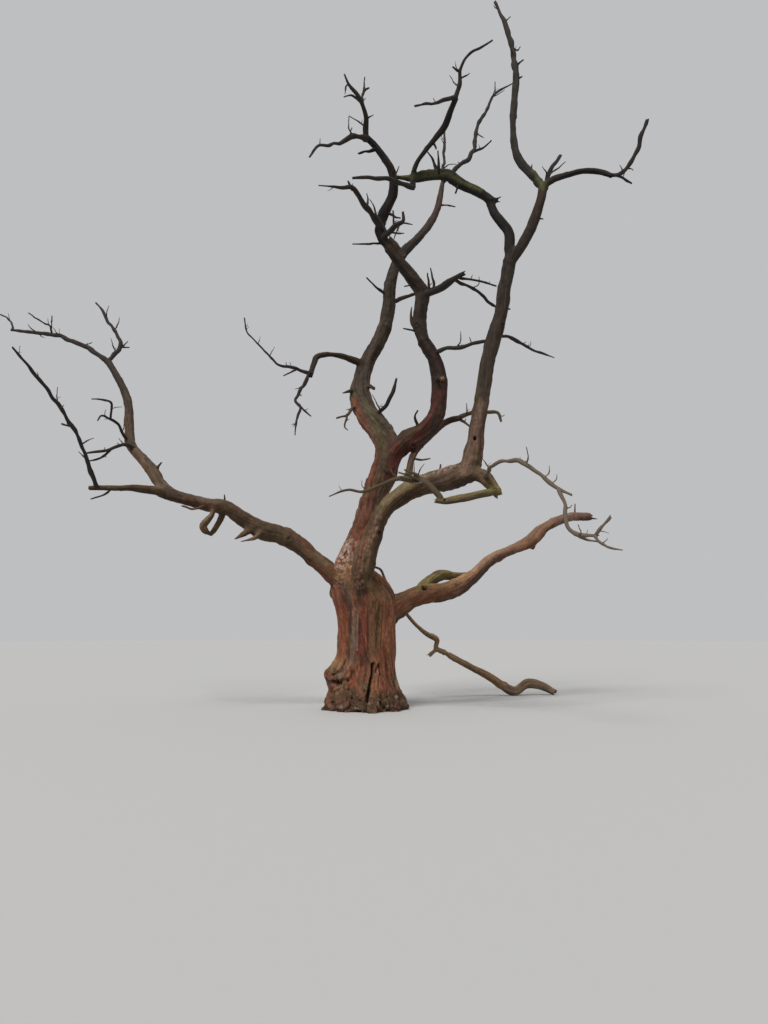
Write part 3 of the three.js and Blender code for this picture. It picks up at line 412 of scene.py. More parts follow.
# Masses of twigs: a stem that meets a limb's end or side, and the forks that can be told apart, each a
# route and its girths
masses = {
    "twigs_left_tip": {
        "wood": "dark",
        "route": [(109, 362, 0.65), (96, 353, 0.7), (80, 345, 0.78), (66, 338, 0.86), (51, 334.5, 0.95),
                  (32, 332, 1.08), (12, 330, 1.2)],
        "girth": [0.125, 0.11, 0.1, 0.095, 0.09, 0.08, 0.065],
        "forks": [
            ([(13, 330, 1.2), (12, 324, 1.25), (6, 317, 1.3),
              (-7, 312, 1.35)], [0.05, 0.045, 0.04, 0.02]),
            ([(52, 334, 0.94), (50, 326, 0.9), (42, 322, 0.88),
              (28.6, 313, 0.85)], [0.05, 0.045, 0.035, 0.02]),
            ([(51.5, 328, 0.92), (52, 316, 0.92)], [0.035, 0.02]),
        ],
    },
    "twigs_left_fork": {
        "wood": "dark",
        "route": [(106, 363, 0.66), (114, 355.5, 0.74), (120, 349, 0.8), (119.5, 341, 0.85),
                  (110.7, 326, 0.95), (102, 310, 1.02), (96, 303, 1.06)],
        "girth": [0.1, 0.095, 0.09, 0.085, 0.07, 0.06, 0.035],
        "forks": [
            ([(120, 347, 0.8), (129, 347.5, 0.8)], [0.05, 0.025]),
        ],
    },
    "twigs_left_bend": {
        "wood": "dark",
        "route": [(129, 442, -0.18), (122.5, 433, -0.28), (118, 424, -0.35), (110.7, 418.5, -0.42),
                  (101, 416, -0.48), (98, 420, -0.5)],
        "girth": [0.07, 0.06, 0.055, 0.05, 0.045, 0.03],
        "forks": [
            ([(110.7, 419, -0.42), (111, 403, -0.5), (104, 400, -0.55),
              (92, 399, -0.6)], [0.05, 0.05, 0.04, 0.025]),
        ],
    },
    "twigs_left_knee": {
        "wood": "dark",
        "route": [(136, 449, -0.28), (124, 444.5, -0.38), (114, 448, -0.45), (104, 451, -0.52),
                  (87.5, 453, -0.6)],
        "girth": [0.08, 0.07, 0.065, 0.055, 0.03],
        "forks": [
            ([(111, 449.5, -0.46), (102, 457.5, -0.5), (89, 461, -0.55)], [0.05, 0.045, 0.025]),
        ],
    },
    "twigs_left_spar": {
        "wood": "dark",
        "route": [(97, 487.5, -0.97), (88, 464, -1.1), (78, 436, -1.3), (67, 420, -1.42), (55, 400, -1.58),
                  (32, 371, -1.8), (12.5, 347.5, -2)],
        "girth": [0.09, 0.078, 0.07, 0.066, 0.063, 0.058, 0.03],
        "forks": [
            ([(70, 426, -1.38), (62, 424, -1.4)], [0.04, 0.025]),
        ],
    },
    "twigs_hook_left": {
        "wood": "dark",
        "route": [(313, 373, 0.3), (303, 371.5, 0.25), (289, 367, 0.15), (276.8, 363.8, 0.05),
                  (267, 353, -0.02), (256, 342, -0.1), (247, 332, -0.18), (244.5, 318, -0.25)],
        "girth": [0.08, 0.075, 0.06, 0.055, 0.045, 0.04, 0.035, 0.02],
        "forks": [
            ([(297, 369.5, 0.2), (284, 375.5, 0.14)], [0.045, 0.025]),
        ],
    },
    "twigs_hook_down": {
        "wood": "dark",
        "route": [(309, 372, 0.28), (306, 380, 0.27), (300.7, 390, 0.25), (295.5, 399, 0.22),
                  (301, 408, 0.2), (298.5, 415, 0.16), (295.8, 424, 0.12), (295, 434.7, 0.1)],
        "girth": [0.09, 0.08, 0.065, 0.06, 0.06, 0.055, 0.045, 0.02],
        "forks": [
            ([(301, 407, 0.2), (310.5, 416, 0.22)], [0.05, 0.025]),
        ],
    },
    "twigs_stem_left": {
        "wood": "grey",
        "route": [(358, 402, 0.5), (351, 409, 0.4), (346.5, 415, 0.35), (337, 418, 0.3)],
        "girth": [0.09, 0.08, 0.06, 0.03],
        "forks": [
            ([(347, 414, 0.35), (346, 421, 0.34), (345, 427, 0.33),
              (347.5, 430, 0.33)], [0.055, 0.05, 0.04, 0.02]),
        ],
    },
    "twigs_stem_right": {
        "wood": "dark",
        "route": [(375, 416, 0.4), (384, 408, 0.3), (389, 398, 0.24), (393.5, 390, 0.2), (396.4, 379, 0.16)],
        "girth": [0.1, 0.09, 0.08, 0.07, 0.05],
    },
    "twigs_inner_top": {
        "wood": "dark",
        "route": [(366, 141, -0.63), (365.5, 128, -0.67), (365.5, 117, -0.72), (361.5, 103, -0.8),
                  (356, 93, -0.85), (348, 83.5, -0.9), (344.5, 74.5, -0.94)],
        "girth": [0.11, 0.1, 0.095, 0.085, 0.08, 0.06, 0.03],
        "forks": [
            ([(362, 105, -0.78), (363.5, 92, -0.74), (368.7, 88, -0.72)], [0.06, 0.05, 0.035]),
            ([(363.5, 92, -0.74), (364.7, 77, -0.74)], [0.04, 0.02]),
            ([(359.5, 101, -0.82), (351, 95.5, -0.9), (344, 97, -0.95)], [0.05, 0.04, 0.02]),
            ([(348, 84, -0.9), (345.5, 88, -0.91), (345, 94, -0.92)], [0.035, 0.03, 0.015]),
        ],
    },
    "twigs_inner_reach": {
        "wood": "dark",
        "route": [(368, 138, -0.66), (354, 137, -0.72), (344, 141, -0.78), (329, 145.5, -0.9),
                  (319, 146, -0.98), (309.7, 156.8, -1.04)],
        "girth": [0.1, 0.09, 0.085, 0.07, 0.06, 0.04],
    },
    "twigs_inner_left": {
        "wood": "dark",
        "route": [(382, 231, -0.3), (372, 215.5, -0.42), (362, 200, -0.56), (351.5, 187.5, -0.68),
                  (337, 187, -0.74), (319, 185.5, -0.8)],
        "girth": [0.13, 0.12, 0.105, 0.09, 0.045, 0.025],
        "forks": [
            ([(353, 190, -0.66), (348.5, 182, -0.7)], [0.07, 0.03]),
            ([(377, 222, -0.36), (374, 207, -0.36), (370, 199.7, -0.36)], [0.05, 0.035, 0.02]),
        ],
    },
    "twigs_inner_right": {
        "wood": "dark",
        "route": [(381, 239, -0.28), (388, 232.5, -0.36), (395, 226.5, -0.42), (403, 221.5, -0.48),
                  (403, 213, -0.5)],
        "girth": [0.125, 0.12, 0.11, 0.09, 0.04],
        "forks": [
            ([(394, 227, -0.42), (393, 211, -0.46)], [0.045, 0.03]),
            ([(402, 223, -0.47), (412, 224.5, -0.5)], [0.04, 0.02]),
            ([(399, 225, -0.45), (394, 239, -0.48)], [0.04, 0.02]),
        ],
    },
    "twigs_mid_upper": {
        "wood": "dark",
        "route": [(421, 296, -0.13), (433, 289.5, -0.24), (443, 286, -0.32), (453, 280, -0.4),
                  (464, 273.5, -0.45)],
        "girth": [0.17, 0.155, 0.14, 0.13, 0.08],
        "forks": [
            ([(455, 280, -0.4), (472, 288, -0.3), (484, 297.5, -0.22), (496, 307, -0.15),
              (509, 309, -0.1)], [0.075, 0.065, 0.06, 0.05, 0.03]),
            ([(459, 278, -0.42), (477.6, 280.5, -0.36), (496, 286, -0.3)], [0.06, 0.05, 0.03]),
        ],
    },
    "twigs_mid_lower": {
        "wood": "dark",
        "route": [(432, 354, -0.15), (445, 348.8, -0.28), (460, 348, -0.34), (476, 343.5, -0.38),
                  (490, 340, -0.38), (508, 336, -0.34), (520, 342, -0.28), (534, 350, -0.22),
                  (554, 357.6, -0.15)],
        "girth": [0.11, 0.09, 0.085, 0.075, 0.07, 0.072, 0.06, 0.05, 0.02],
    },
    "twigs_back_top": {
        "wood": "dark",
        "route": [(442.5, 186, 1.4), (443.5, 168, 1.52), (444, 150, 1.66), (444.8, 129, 1.8)],
        "girth": [0.09, 0.08, 0.07, 0.035],
    },
    "twigs_back_reach": {
        "wood": "dark",
        "route": [(443, 182, 1.42), (455.7, 167.5, 1.5), (468, 158.5, 1.58), (473, 151, 1.64),
                  (475, 135, 1.72), (484.6, 112.8, 1.84), (495.4, 93.7, 1.94), (512, 83.7, 2)],
        "girth": [0.12, 0.11, 0.1, 0.095, 0.09, 0.08, 0.07, 0.03],
        "forks": [
            ([(472, 153, 1.62), (483, 147.6, 1.6), (490.9, 141, 1.58)], [0.07, 0.055, 0.04]),
            ([(495, 95, 1.93), (495, 82, 1.95)], [0.04, 0.02]),
        ],
    },
    "twigs_riser_top": {
        "wood": "dark",
        "route": [(454.5, 101, -1.39), (458.5, 88, -1.44), (459.5, 77, -1.48), (460, 69, -1.52),
                  (466, 57, -1.56), (479.6, 48, -1.6), (492, 40.6, -1.64)],
        "girth": [0.095, 0.085, 0.075, 0.06, 0.045, 0.04, 0.03],
        "forks": [
            ([(456, 97, -1.41), (444, 99.5, -1.46), (433, 102.8, -1.52),
              (415, 106, -1.6)], [0.075, 0.065, 0.055, 0.03]),
            ([(459.5, 72, -1.5), (453, 67, -1.54)], [0.05, 0.03]),
        ],
    },
    "twigs_riser_left": {
        "wood": "dark",
        "route": [(414, 187.5, -0.99), (402, 183.5, -1.04), (392, 179.5, -1.08), (375.3, 178.3, -1.14),
                  (352.7, 178, -1.2)],
        "girth": [0.1, 0.09, 0.08, 0.07, 0.035],
    },
    "twigs_leader_top": {
        "wood": "dark",
        "route": [(516, 70, -0.71), (511.5, 48, -0.65), (508, 28, -0.6), (501.5, 15, -0.55), (495, 2, -0.5)],
        "girth": [0.12, 0.11, 0.105, 0.09, 0.05],
    },
    "twigs_right_tip": {
        "wood": "dark",
        "route": [(609, 175, -1.48), (620, 175, -1.52), (630, 163.5, -1.57), (637, 147.6, -1.62),
                  (647, 121, -1.7)],
        "girth": [0.085, 0.075, 0.075, 0.08, 0.05],
        "forks": [
            ([(617, 175.5, -1.5), (631, 183, -1.46)], [0.06, 0.03]),
        ],
    },
    "twigs_right_spike": {
        "wood": "dark",
        "route": [(547, 184, -1.2), (549, 175, -1.18), (553, 165.5, -1.16), (560, 156, -1.12)],
        "girth": [0.09, 0.085, 0.075, 0.045],
    },
    "twigs_back_limb": {
        "wood": "grey",
        "route": [(457, 419, 0.46), (465, 415, 0.45), (475, 412.5, 0.4), (488, 412.3, 0.34),
                  (498, 413, 0.28), (501, 421, 0.25)],
        "girth": [0.11, 0.1, 0.085, 0.08, 0.07, 0.05],
        "forks": [
            ([(459, 418.5, 0.46), (469, 425.7, 0.44)], [0.08, 0.05]),
        ],
    },
    "twigs_front": {
        "wood": "grey",
        "route": [(441, 499, -1.24), (433, 489, -1.22), (422, 481.5, -1.2), (411, 479, -1.17),
                  (398, 477.3, -1.14), (381, 485, -1.1), (363.6, 491.5, -1.08), (348, 489.5, -1.08),
                  (330, 496, -1.06)],
        "girth": [0.12, 0.12, 0.11, 0.085, 0.06, 0.055, 0.055, 0.045, 0.025],
        "forks": [
            ([(422, 481.5, -1.2), (416, 475.5, -1.22), (405, 470, -1.25)], [0.07, 0.055, 0.03]),
            ([(421, 481, -1.2), (412, 477, -1.22), (399, 472.5, -1.2)], [0.06, 0.05, 0.03]),
            ([(421, 483, -1.19), (410, 481.5, -1.16), (399, 480, -1.12)], [0.06, 0.055, 0.03]),
            ([(397, 477.5, -1.14), (393, 474, -1.15), (391, 470, -1.15)], [0.04, 0.03, 0.02]),
        ],
    },
    "twigs_arch": {
        "wood": "pale",
        "route": [(484, 479, -1.09), (489, 470.5, -1.32), (496, 464, -1.5), (509, 460.5, -1.6),
                  (524, 463, -1.72), (540, 475, -1.82), (556, 487, -1.9), (571, 494.6, -1.96)],
        "girth": [0.09, 0.078, 0.07, 0.068, 0.075, 0.07, 0.06, 0.03],
        "forks": [
            ([(558, 488, -1.91), (564, 502, -1.97), (565.7, 514, -2), (569, 529, -2.04),
              (577, 534, -2.08), (597, 536, -2.16)], [0.06, 0.06, 0.065, 0.072, 0.065, 0.05]),
            ([(595, 536, -2.15), (602.4, 526.7, -2.2), (610, 517.6, -2.24)], [0.05, 0.05, 0.045]),
            ([(595, 536, -2.16), (603, 545, -2.2), (622, 550, -2.26)], [0.05, 0.04, 0.02]),
            ([(577, 535, -2.07), (587, 540, -2.06), (597, 541.5, -2.06)], [0.05, 0.04, 0.025]),
        ],
    },
}

# How a limb's tube is drawn
tubes = {
    "spacing": 0.035,
    "fine": 24,  # steps between two points of a route
    "sides": 24,
    "oval": {"depth": 0.07, "wind": 7},
    "knob": {"depth": 0.05, "wind": -11},
    "crooked": 0.1,  # sideways sway, in radii
    "swell": 0.06,
    "beat": 5,  # how long a sway is, in radii
    "swellBeat": 1.6,  # swellings to a sway
    "apart": 1.7,  # between one limb's sways and the next one's
    "even": 3,  # places on each side over which the girth is evened out
    "fused": 0.085,  # a spur at least this thick is fused into its limb
}

# How a tube ends: rings that keep a share of its radius, how far out each lies and how ragged it is, in
# radii, and then how far out the tip lies
ends = {
    "round": {"rings": ((0.85, 0.2, 0), (0.5, 0.34, 0)), "tip": 0.4},
    "torn": {"rings": ((0.93, 0.7, 1.3), (0.5, 0.1, 0.8)), "tip": -0.2},
    "fine": 2.3,  # how fine the rags are
}


def walk(points, spacing):
    # centripetal Catmull-Rom line through points, at even steps: places and the length walked
    points = np.array(points, dtype=float)
    padded = np.vstack([2 * points[0] - points[1], points, 2 * points[-1] - points[-2]])
    gaps = np.maximum(np.linalg.norm(np.diff(padded, axis=0), axis=1) ** 0.5, 1e-4)
    t = np.linspace(0, 1, tubes["fine"], endpoint=False)[:, None]
    fine = []
    for i in range(len(points) - 1):
        before, start, end, after = padded[i:i + 4]
        g0, g1, g2 = gaps[i:i + 3]
        leave = ((start - before) / g0 - (end - before) / (g0 + g1) + (end - start) / g1) * g1
        arrive = ((end - start) / g1 - (after - start) / (g1 + g2) + (after - end) / g2) * g1
        square = 3 * (end - start) - 2 * leave - arrive
        cube = 2 * (start - end) + leave + arrive
        fine.append(start + leave * t + square * t**2 + cube * t**3)
    fine = np.vstack([*fine, points[-1:]])
    walked = np.append(0, np.cumsum(np.linalg.norm(np.diff(fine, axis=0), axis=1)))
    even = np.linspace(0, walked[-1], max(2, math.ceil(walked[-1] / spacing)) + 1)
    return np.stack([np.interp(even, walked, axis) for axis in fine.T], axis=1), even


def directions(place):
    # tangent, normal and binormal at each place, turning as little as they can
    tangent = unit(np.gradient(place, axis=0))
    first = np.cross(tangent[0], np.eye(3)[np.argmin(np.abs(tangent[0]))])
    normal = [unit(np.cross(tangent[0], first))]
    for ahead in tangent[1:]:
        normal.append(unit(normal[-1] - ahead * normal[-1].dot(ahead)))
    normal = np.array(normal)
    return tangent, normal, np.cross(tangent, normal)


def woodLine(points, girth, spacing, seed, crooked=0.0, swell=0.0):
    # a limb's middle line with its directions, and its radius at each place
    place, reach = walk(points, spacing)
    share = reach / reach[-1]
    radius = np.interp(share, np.linspace(0, 1, len(girth)), girth) / 2
    window = 2 * tubes["even"] + 1
    padded = np.pad(radius, tubes["even"], mode="edge")
    radius = np.convolve(padded, np.full(window, 1 / window), mode="valid")
    mean = radius.mean()
    tangent, normal, binormal = directions(place)
    beat = np.stack([reach / (tubes["beat"] * mean), np.full(len(reach), seed * tubes["apart"]),
                     np.zeros(len(reach))], axis=1)
    fade = (np.sin(math.pi * share) ** 0.5 * crooked * radius)[:, None]
    place = place + fade * (normal * noise(beat, 1)[:, None] + binormal * noise(beat, 2)[:, None])
    radius = radius * (1 + swell * noise(beat * tubes["swellBeat"], 3))
    tangent, normal, binormal = directions(place)
    return {"place": place, "reach": reach, "share": share, "radius": radius, "mean": mean,
            "tangent": tangent, "normal": normal, "binormal": binormal, "seed": seed}


def uneven(turn, share):
    # share of its radius that a limb's section has in each direction
    oval = tubes["oval"]["depth"] * np.cos(2 * turn + tubes["oval"]["wind"] * share)
    knob = tubes["knob"]["depth"] * np.cos(turn + tubes["knob"]["wind"] * share)
    return 1 + oval + knob


def joinedRings(rings, tail, tip):
    # closed body from rings of points with a point at either end
    count, sides = rings.shape[:2]
    points = np.vstack([tail[None], rings.reshape(-1, 3), tip[None]])
    here = 1 + np.arange(sides)
    there = np.roll(here, -1)
    last = (count - 1) * sides
    faces = [(0, b, a) for a, b in zip(here, there)]
    faces += [(last + a, last + b, len(points) - 1) for a, b in zip(here, there)]
    for low in range(0, last, sides):
        faces += zip(low + here, low + there, low + sides + there, low + sides + here)
    return points, faces


def tubeBody(line, sides, torn=False):
    # closed tube round a line, with a rounded start and a rounded or a torn end
    turn = 2 * math.pi * np.arange(sides) / sides
    out = line["normal"][:, None] * np.cos(turn)[:, None] + line["binormal"][:, None] * np.sin(turn)[:, None]
    wide = line["radius"][:, None] * uneven(turn[None], line["share"][:, None])
    rings = line["place"][:, None] + out * wide[..., None]
    tips = []
    for end, way in ((0, -1), (-1, 1)):
        radius, tangent, heart = line["radius"][end], way * line["tangent"][end], line["place"][end]
        shape = ends["torn" if torn and way > 0 else "round"]
        around = np.stack([np.cos(turn), np.sin(turn), np.full(sides, line["seed"] + end)], axis=1)
        jag = noise(around * ends["fine"])
        extra = [heart + (rings[end] - heart) * keep + tangent * radius * (far + ragged * jag)[:, None]
                 for keep, far, ragged in shape["rings"]]
        rings = np.concatenate([rings, extra] if way > 0 else [extra[::-1], rings])
        tips.append(heart + tangent * radius * shape["tip"])
    return joinedRings(rings, tips[0], tips[1])


def trunkHalf(half, height, turn):
    # half width of the trunk in a direction at a height, with its flutes, roots and burl
    flutes, roots, burl = trunk["flutes"], trunk["roots"], trunk["burl"]
    fluted = 1 + flutes["depth"] * np.cos(flutes["count"] * turn + flutes["turn"] + flutes["wind"] * height)
    spread = np.exp(-height / roots["reach"])
    rooted = 1 + roots["depth"] * spread * np.cos(roots["count"] * turn + roots["turn"])
    off = ((turn - burl["side"]) / burl["wide"]) ** 2 + ((height - burl["height"]) / burl["tall"]) ** 2
    return half * fluted * rooted + burl["bulge"] * np.exp(-off / 2)


trunkCurve = walk(trunk["outline"], trunk["step"])[0]


def trunkAt(height):
    # middle and half width of the trunk at a height
    heights, middles, halves = trunkCurve.T
    return np.interp(height, heights, middles), np.interp(height, heights, halves)


def trunkBody():
    top = trunk["outline"][-1][0]
    heights = np.linspace(0, top, round(top / trunk["rise"]) + 1)[:, None]
    turn = 2 * math.pi * np.arange(trunk["sides"])[None] / trunk["sides"]
    middle, half = trunkAt(heights)
    reach = trunkHalf(half, heights, turn)
    rings = np.stack([middle + reach * np.cos(turn), trunk["depth"] * reach * np.sin(turn),
                      np.broadcast_to(heights, reach.shape)], axis=2)
    return joinedRings(rings, np.zeros(3), np.array([trunk["outline"][-1][1], 0, trunk["crown"]]))


def meshOf(name, points, faces):
    mesh = bpy.data.meshes.new(name)
    mesh.from_pydata(points, [], faces)
    return mesh


# How the fused wood is made and how far its forks are rounded
fusing = {
    "voxel": 0.014,
    "even": 2,  # passes that even out the whole skin
    "round": 150,  # passes at the forks
    "pull": 0.5,  # how far a pass draws a point to its neighbours
    "stout": 0.12,  # a limb of this radius is rounded in full, and a slimmer one less
    "blend": 0.06,  # how far one limb's grain runs into the next
    "room": 1.3,  # radii within which a limb may have a say
    "above": 0.2,  # metres above the trunk's crown within which the trunk may
    "start": -0.02,  # how far along a limb its say begins, in radii
    "least": 0.0005,  # a smaller say is none
    "fork": (0.35, 0.85),  # how near the second say is to the best at a fork's rim and inside it
    "close": 0.2,  # share of the best say from which a limb counts at a fork
    "keen": 1.6,  # how keenly the nearest limb leads where they are mixed
    "batch": 20000,  # spots measured at once
}

# Wood that fills the inner corners of the elbow, of the right arm's root and of the left arm's end
collars = [
    ([(446, 479, -0.93), (457, 474.5, -0.97), (465, 469, -1), (471, 458, -1.02),
      (474.5, 442, -1.03)], [0.28, 0.33, 0.35, 0.33, 0.25]),
    ([(385, 628, 0.02), (390, 618, 0.03), (399, 607, 0.08), (412, 599, 0.14)], [0.16, 0.32, 0.42, 0.36]),
    ([(154, 476, -0.48), (160, 485, -0.52), (168, 491.5, -0.54),
      (178, 496, -0.53)], [0.16, 0.25, 0.24, 0.16]),
]

# Limbs whose far end broke off in the open
tornLimbs = ("right_arm", "right_knuckle", "hooked_spar", "elbow_stub", "arching_bough_end", "fallen_butt")

lines, home = {}, {"trunk": "trunk"}  # home says which limb a line belongs to
parts = [trunkBody()]
for index, (name, limb) in enumerate(limbs.items()):
    line = woodLine(seen(limb["route"]), limb["girth"], tubes["spacing"], index, tubes["crooked"],
                    tubes["swell"])
    lines[name], home[name] = line, name
    parts.append(tubeBody(line, tubes["sides"], name in tornLimbs))
    for number, (route, girth) in enumerate(limb.get("spurs", [])):
        if max(girth) >= tubes["fused"]:
            line = woodLine(seen(route), girth, tubes["spacing"], seedOf("fused", index) + number)
            parts.append(tubeBody(line, tubes["sides"] // 2, True))
            lines[f"{name}.{number}"], home[f"{name}.{number}"] = line, name
for number, (route, girth) in enumerate(collars):
    line = woodLine(seen(route), girth, tubes["spacing"], seedOf("collar", number))
    parts.append(tubeBody(line, tubes["sides"]))


def joined(parts):
    # several bodies as one list of points and faces
    points, faces, count = [], [], 0
    for spots, theirs in parts:
        points.append(spots)
        faces += [tuple(count + corner for corner in face) for face in theirs]
        count += len(spots)
    return np.vstack(points), faces


def fusedSkin(parts):
    # one skin round all the bodies: its points and its four-sided faces
    mesh = meshOf("woodBlank", *joined(parts))
    blank = placed("woodBlank", mesh)
    remesh = blank.modifiers.new("fuse", "REMESH")
    remesh.mode = "VOXEL"
    remesh.voxel_size = fusing["voxel"]
    skin = blank.evaluated_get(bpy.context.evaluated_depsgraph_get()).to_mesh()
    points = np.empty(len(skin.vertices) * 3)
    skin.vertices.foreach_get("co", points)
    corners = np.empty(len(skin.loops), dtype=np.int64)
    skin.loops.foreach_get("vertex_index", corners)
    bpy.data.objects.remove(blank)
    bpy.data.meshes.remove(mesh)
    return points.reshape(-1, 3), corners.reshape(-1, 4)


skin, quads = fusedSkin(parts)
print("fused skin:", len(skin), "points")


def edgesOf(quads):
    pairs = np.sort(np.vstack([quads[:, [i, (i + 1) % 4]] for i in range(4)]), axis=1)
    keys = np.unique(pairs[:, 0] * (quads.max() + 1) + pairs[:, 1])
    return np.stack([keys // (quads.max() + 1), keys % (quads.max() + 1)], axis=1)


def relaxed(points, edges, passes, amount):
    # points drawn towards the mean of their neighbours, each by its own amount
    edges = edges[amount[edges].max(axis=1) > 0]
    count = np.maximum(np.bincount(edges.ravel(), minlength=len(points)), 1)[:, None]
    for _ in range(passes):
        total = np.stack([np.bincount(edges[:, 0], points[edges[:, 1], axis], len(points))
                          + np.bincount(edges[:, 1], points[edges[:, 0], axis], len(points))
                          for axis in range(3)], axis=1)
        points = points + amount[:, None] * (total / count - points)
    return points


def outwards(points, quads):
    # direction straight out of the skin at each point
    first, second = (points[quads[:, i + 2]] - points[quads[:, i]] for i in range(2))
    across = np.cross(first, second)
    total = np.stack([sum(np.bincount(quads[:, i], across[:, axis], len(points)) for i in range(4))
                      for axis in range(3)], axis=1)
    return unit(total)


def onLine(line, spots):
    # how far outside a limb's tube each spot is, how far along it, and in which direction
    nearest = np.concatenate([((some[:, None] - line["place"]) ** 2).sum(axis=2).argmin(axis=1)
                              for some in np.array_split(spots, len(spots) // fusing["batch"] + 1)])
    step, last = line["reach"][1], len(line["place"]) - 1
    ahead = ((spots - line["place"][nearest]) * line["tangent"][nearest]).sum(axis=1)
    ahead = np.clip(ahead, np.where(nearest == 0, 0, -step), np.where(nearest == last, 0, step))
    apart = spots - line["place"][nearest] - line["tangent"][nearest] * ahead[:, None]
    turn = np.arctan2(*((apart * line[way][nearest]).sum(axis=1) for way in ("binormal", "normal")))
    reach = line["reach"][nearest] + ahead
    radius = np.interp(reach, line["reach"], line["radius"])
    gap = np.linalg.norm(apart, axis=1) - radius * uneven(turn, reach / line["reach"][-1])
    return gap, reach, turn, radius


def onTrunk(spots):
    height = np.clip(spots[:, 2], 0, trunk["outline"][-1][0])
    middle, half = trunkAt(height)
    turn = np.arctan2(spots[:, 1] / trunk["depth"], spots[:, 0] - middle) % (2 * math.pi)
    reach = np.hypot(spots[:, 1] / trunk["depth"], spots[:, 0] - middle)
    gap = np.hypot(reach - trunkHalf(half, height, turn), spots[:, 2] - height)
    return gap, height, turn, half


# Every limb near enough to a point of the skin has a say in its grain, by how near it is
owners, nodes = ["trunk", *lines], ["trunk", *limbs]
edges = edgesOf(quads)
skin = relaxed(skin, edges, fusing["even"], np.full(len(skin), fusing["pull"]))


def shares(skin):
    # for each limb: which points it has a say in, how much, and where they lie on it
    held = {}
    for name in owners:
        if name == "trunk":
            mine = np.flatnonzero(skin[:, 2] < trunk["crown"] + fusing["above"])
            gap, reach, turn, radius = onTrunk(skin[mine])
        else:
            line = lines[name]
            room = line["radius"].max() * fusing["room"] + 2 * fusing["blend"]
            low, high = line["place"].min(axis=0) - room, line["place"].max(axis=0) + room
            mine = np.flatnonzero(((skin > low) & (skin < high)).all(axis=1))
            gap, reach, turn, radius = onLine(line, skin[mine])
        say = np.exp(-np.maximum(gap, 0) / fusing["blend"])
        if name != "trunk":
            say *= smooth(fusing["start"], 1, reach / np.maximum(radius, 1e-3))
        near = say > fusing["least"]
        held[name] = {"mine": mine[near], "say": say[near], "reach": reach[near], "turn": turn[near],
                      "radius": radius[near]}
    return held


def ranked(held, count):
    # the best and the second best say at each point, and whose the best is
    best, second, owner = np.zeros(count), np.zeros(count), np.zeros(count, dtype=int)
    for number, name in enumerate(owners):
        mine, say = held[name]["mine"], held[name]["say"]
        lead = say > best[mine]
        second[mine] = np.where(lead, best[mine], np.maximum(second[mine], say))
        best[mine] = np.maximum(best[mine], say)
        owner[mine[lead]] = number
    return best, second, owner


held = shares(skin)
best, second, owner = ranked(held, len(skin))
forks = smooth(*fusing["fork"], (second / np.maximum(best, 1e-6)) ** 0.5)
slim = np.full(len(skin), fusing["stout"])
for some in held.values():
    close = some["say"] > fusing["close"] * best[some["mine"]]
    slim[some["mine"][close]] = np.minimum(slim[some["mine"][close]], some["radius"][close])
forks *= slim / fusing["stout"]
skin = relaxed(skin, edges, fusing["round"], fusing["pull"] * forks)
held = shares(skin)
best, second, owner = ranked(held, len(skin))
straight = outwards(skin, quads)
print("forks rounded")

# Relief of bare wood. Sizes are cells to a metre round the limb, runs are cells to a metre along it,
# depths are shares of the limb's radius, and a layer's painted shading is how much it darkens the colour
# where the relief is low and lightens it where it is high: painted shade in the lows, painted highlight on
# the crests.
relief = {
    "twist": 0.5,  # radians of spiral grain to a metre
    "slow": 0.12,  # how far the painted grain moves on in a metre along the limb
    "ribs": {"size": 1.4, "run": 0.14, "depth": 0.12, "hollow": 0.45},  # size and run in radii
    "fibres": {"size": 24, "run": 1.5, "depth": 0.06, "most": 0.012, "hollow": 0.4},
    "lumps": {"size": 4, "depth": 0.11, "seed": 5},
    "bumps": {"size": 12, "depth": 0.06, "seed": 6, "hollow": 0.3},
    "knots": {"pitch": 1, "from": 0.15, "to": 0.95, "wide": 0.55, "least": 0.6, "most": 1.1,
              "rise": 0.24, "hole": 0.3, "holeWide": 0.4, "pitWide": 0.5, "hollow": 1.2},
}

# Relief of the trunk in metres, and the height over which its foot is knobbly
trunkRelief = {
    "ribs": {"size": 4.4, "run": 0.6, "depth": 0.05, "hollow": 0.4, "seed": 11},
    "fibres": {"size": 12, "run": 1.1, "depth": 0.026, "hollow": 0.45, "seed": 12},
    "threads": {"size": 30, "run": 2, "depth": 0.01, "hollow": 0.3, "seed": 13},
    "foot": {"tall": 0.32, "size": 7, "depth": 0.035, "fine": 15, "fineDepth": 0.028, "pits": 9,
             "pitDepth": 0.05, "cover": 0.35, "seeds": (20, 24, 28)},
    "burl": {"soft": 1.6, "size": 5, "depth": 0.035, "fine": 12, "fineDepth": 0.016, "pits": 7,
             "pitDepth": 0.035, "cover": 0.8, "seeds": (30, 34, 38)},
    # Painted highlight on the knobs and crumbs of the foot and the burl, and painted shade in their pits
    "knob": {"shape": (1, 1, 0.55), "pit": (0.2, 0.6), "hollow": 0.6, "pitPaintedShade": 1.2},  # taller than wide
    "sway": {"size": 2.5, "depth": 0.05, "seed": 8},
    "warp": {"size": 6, "depth": 0.08, "seed": 17},
}


def spun(reach, turn, radius):
    # place on a limb's rolled-out grain, as metres across it and metres along it
    spin = turn + relief["twist"] * reach
    return np.stack([radius * np.cos(spin), radius * np.sin(spin)], axis=1)


def layer(across, reach, some, seed, crest=False):
    # one layer of relief from -1 to 1
    places = np.column_stack([across * some["size"], reach * some["run"]])
    return ridged(places, seed) if crest else noise(places, seed)


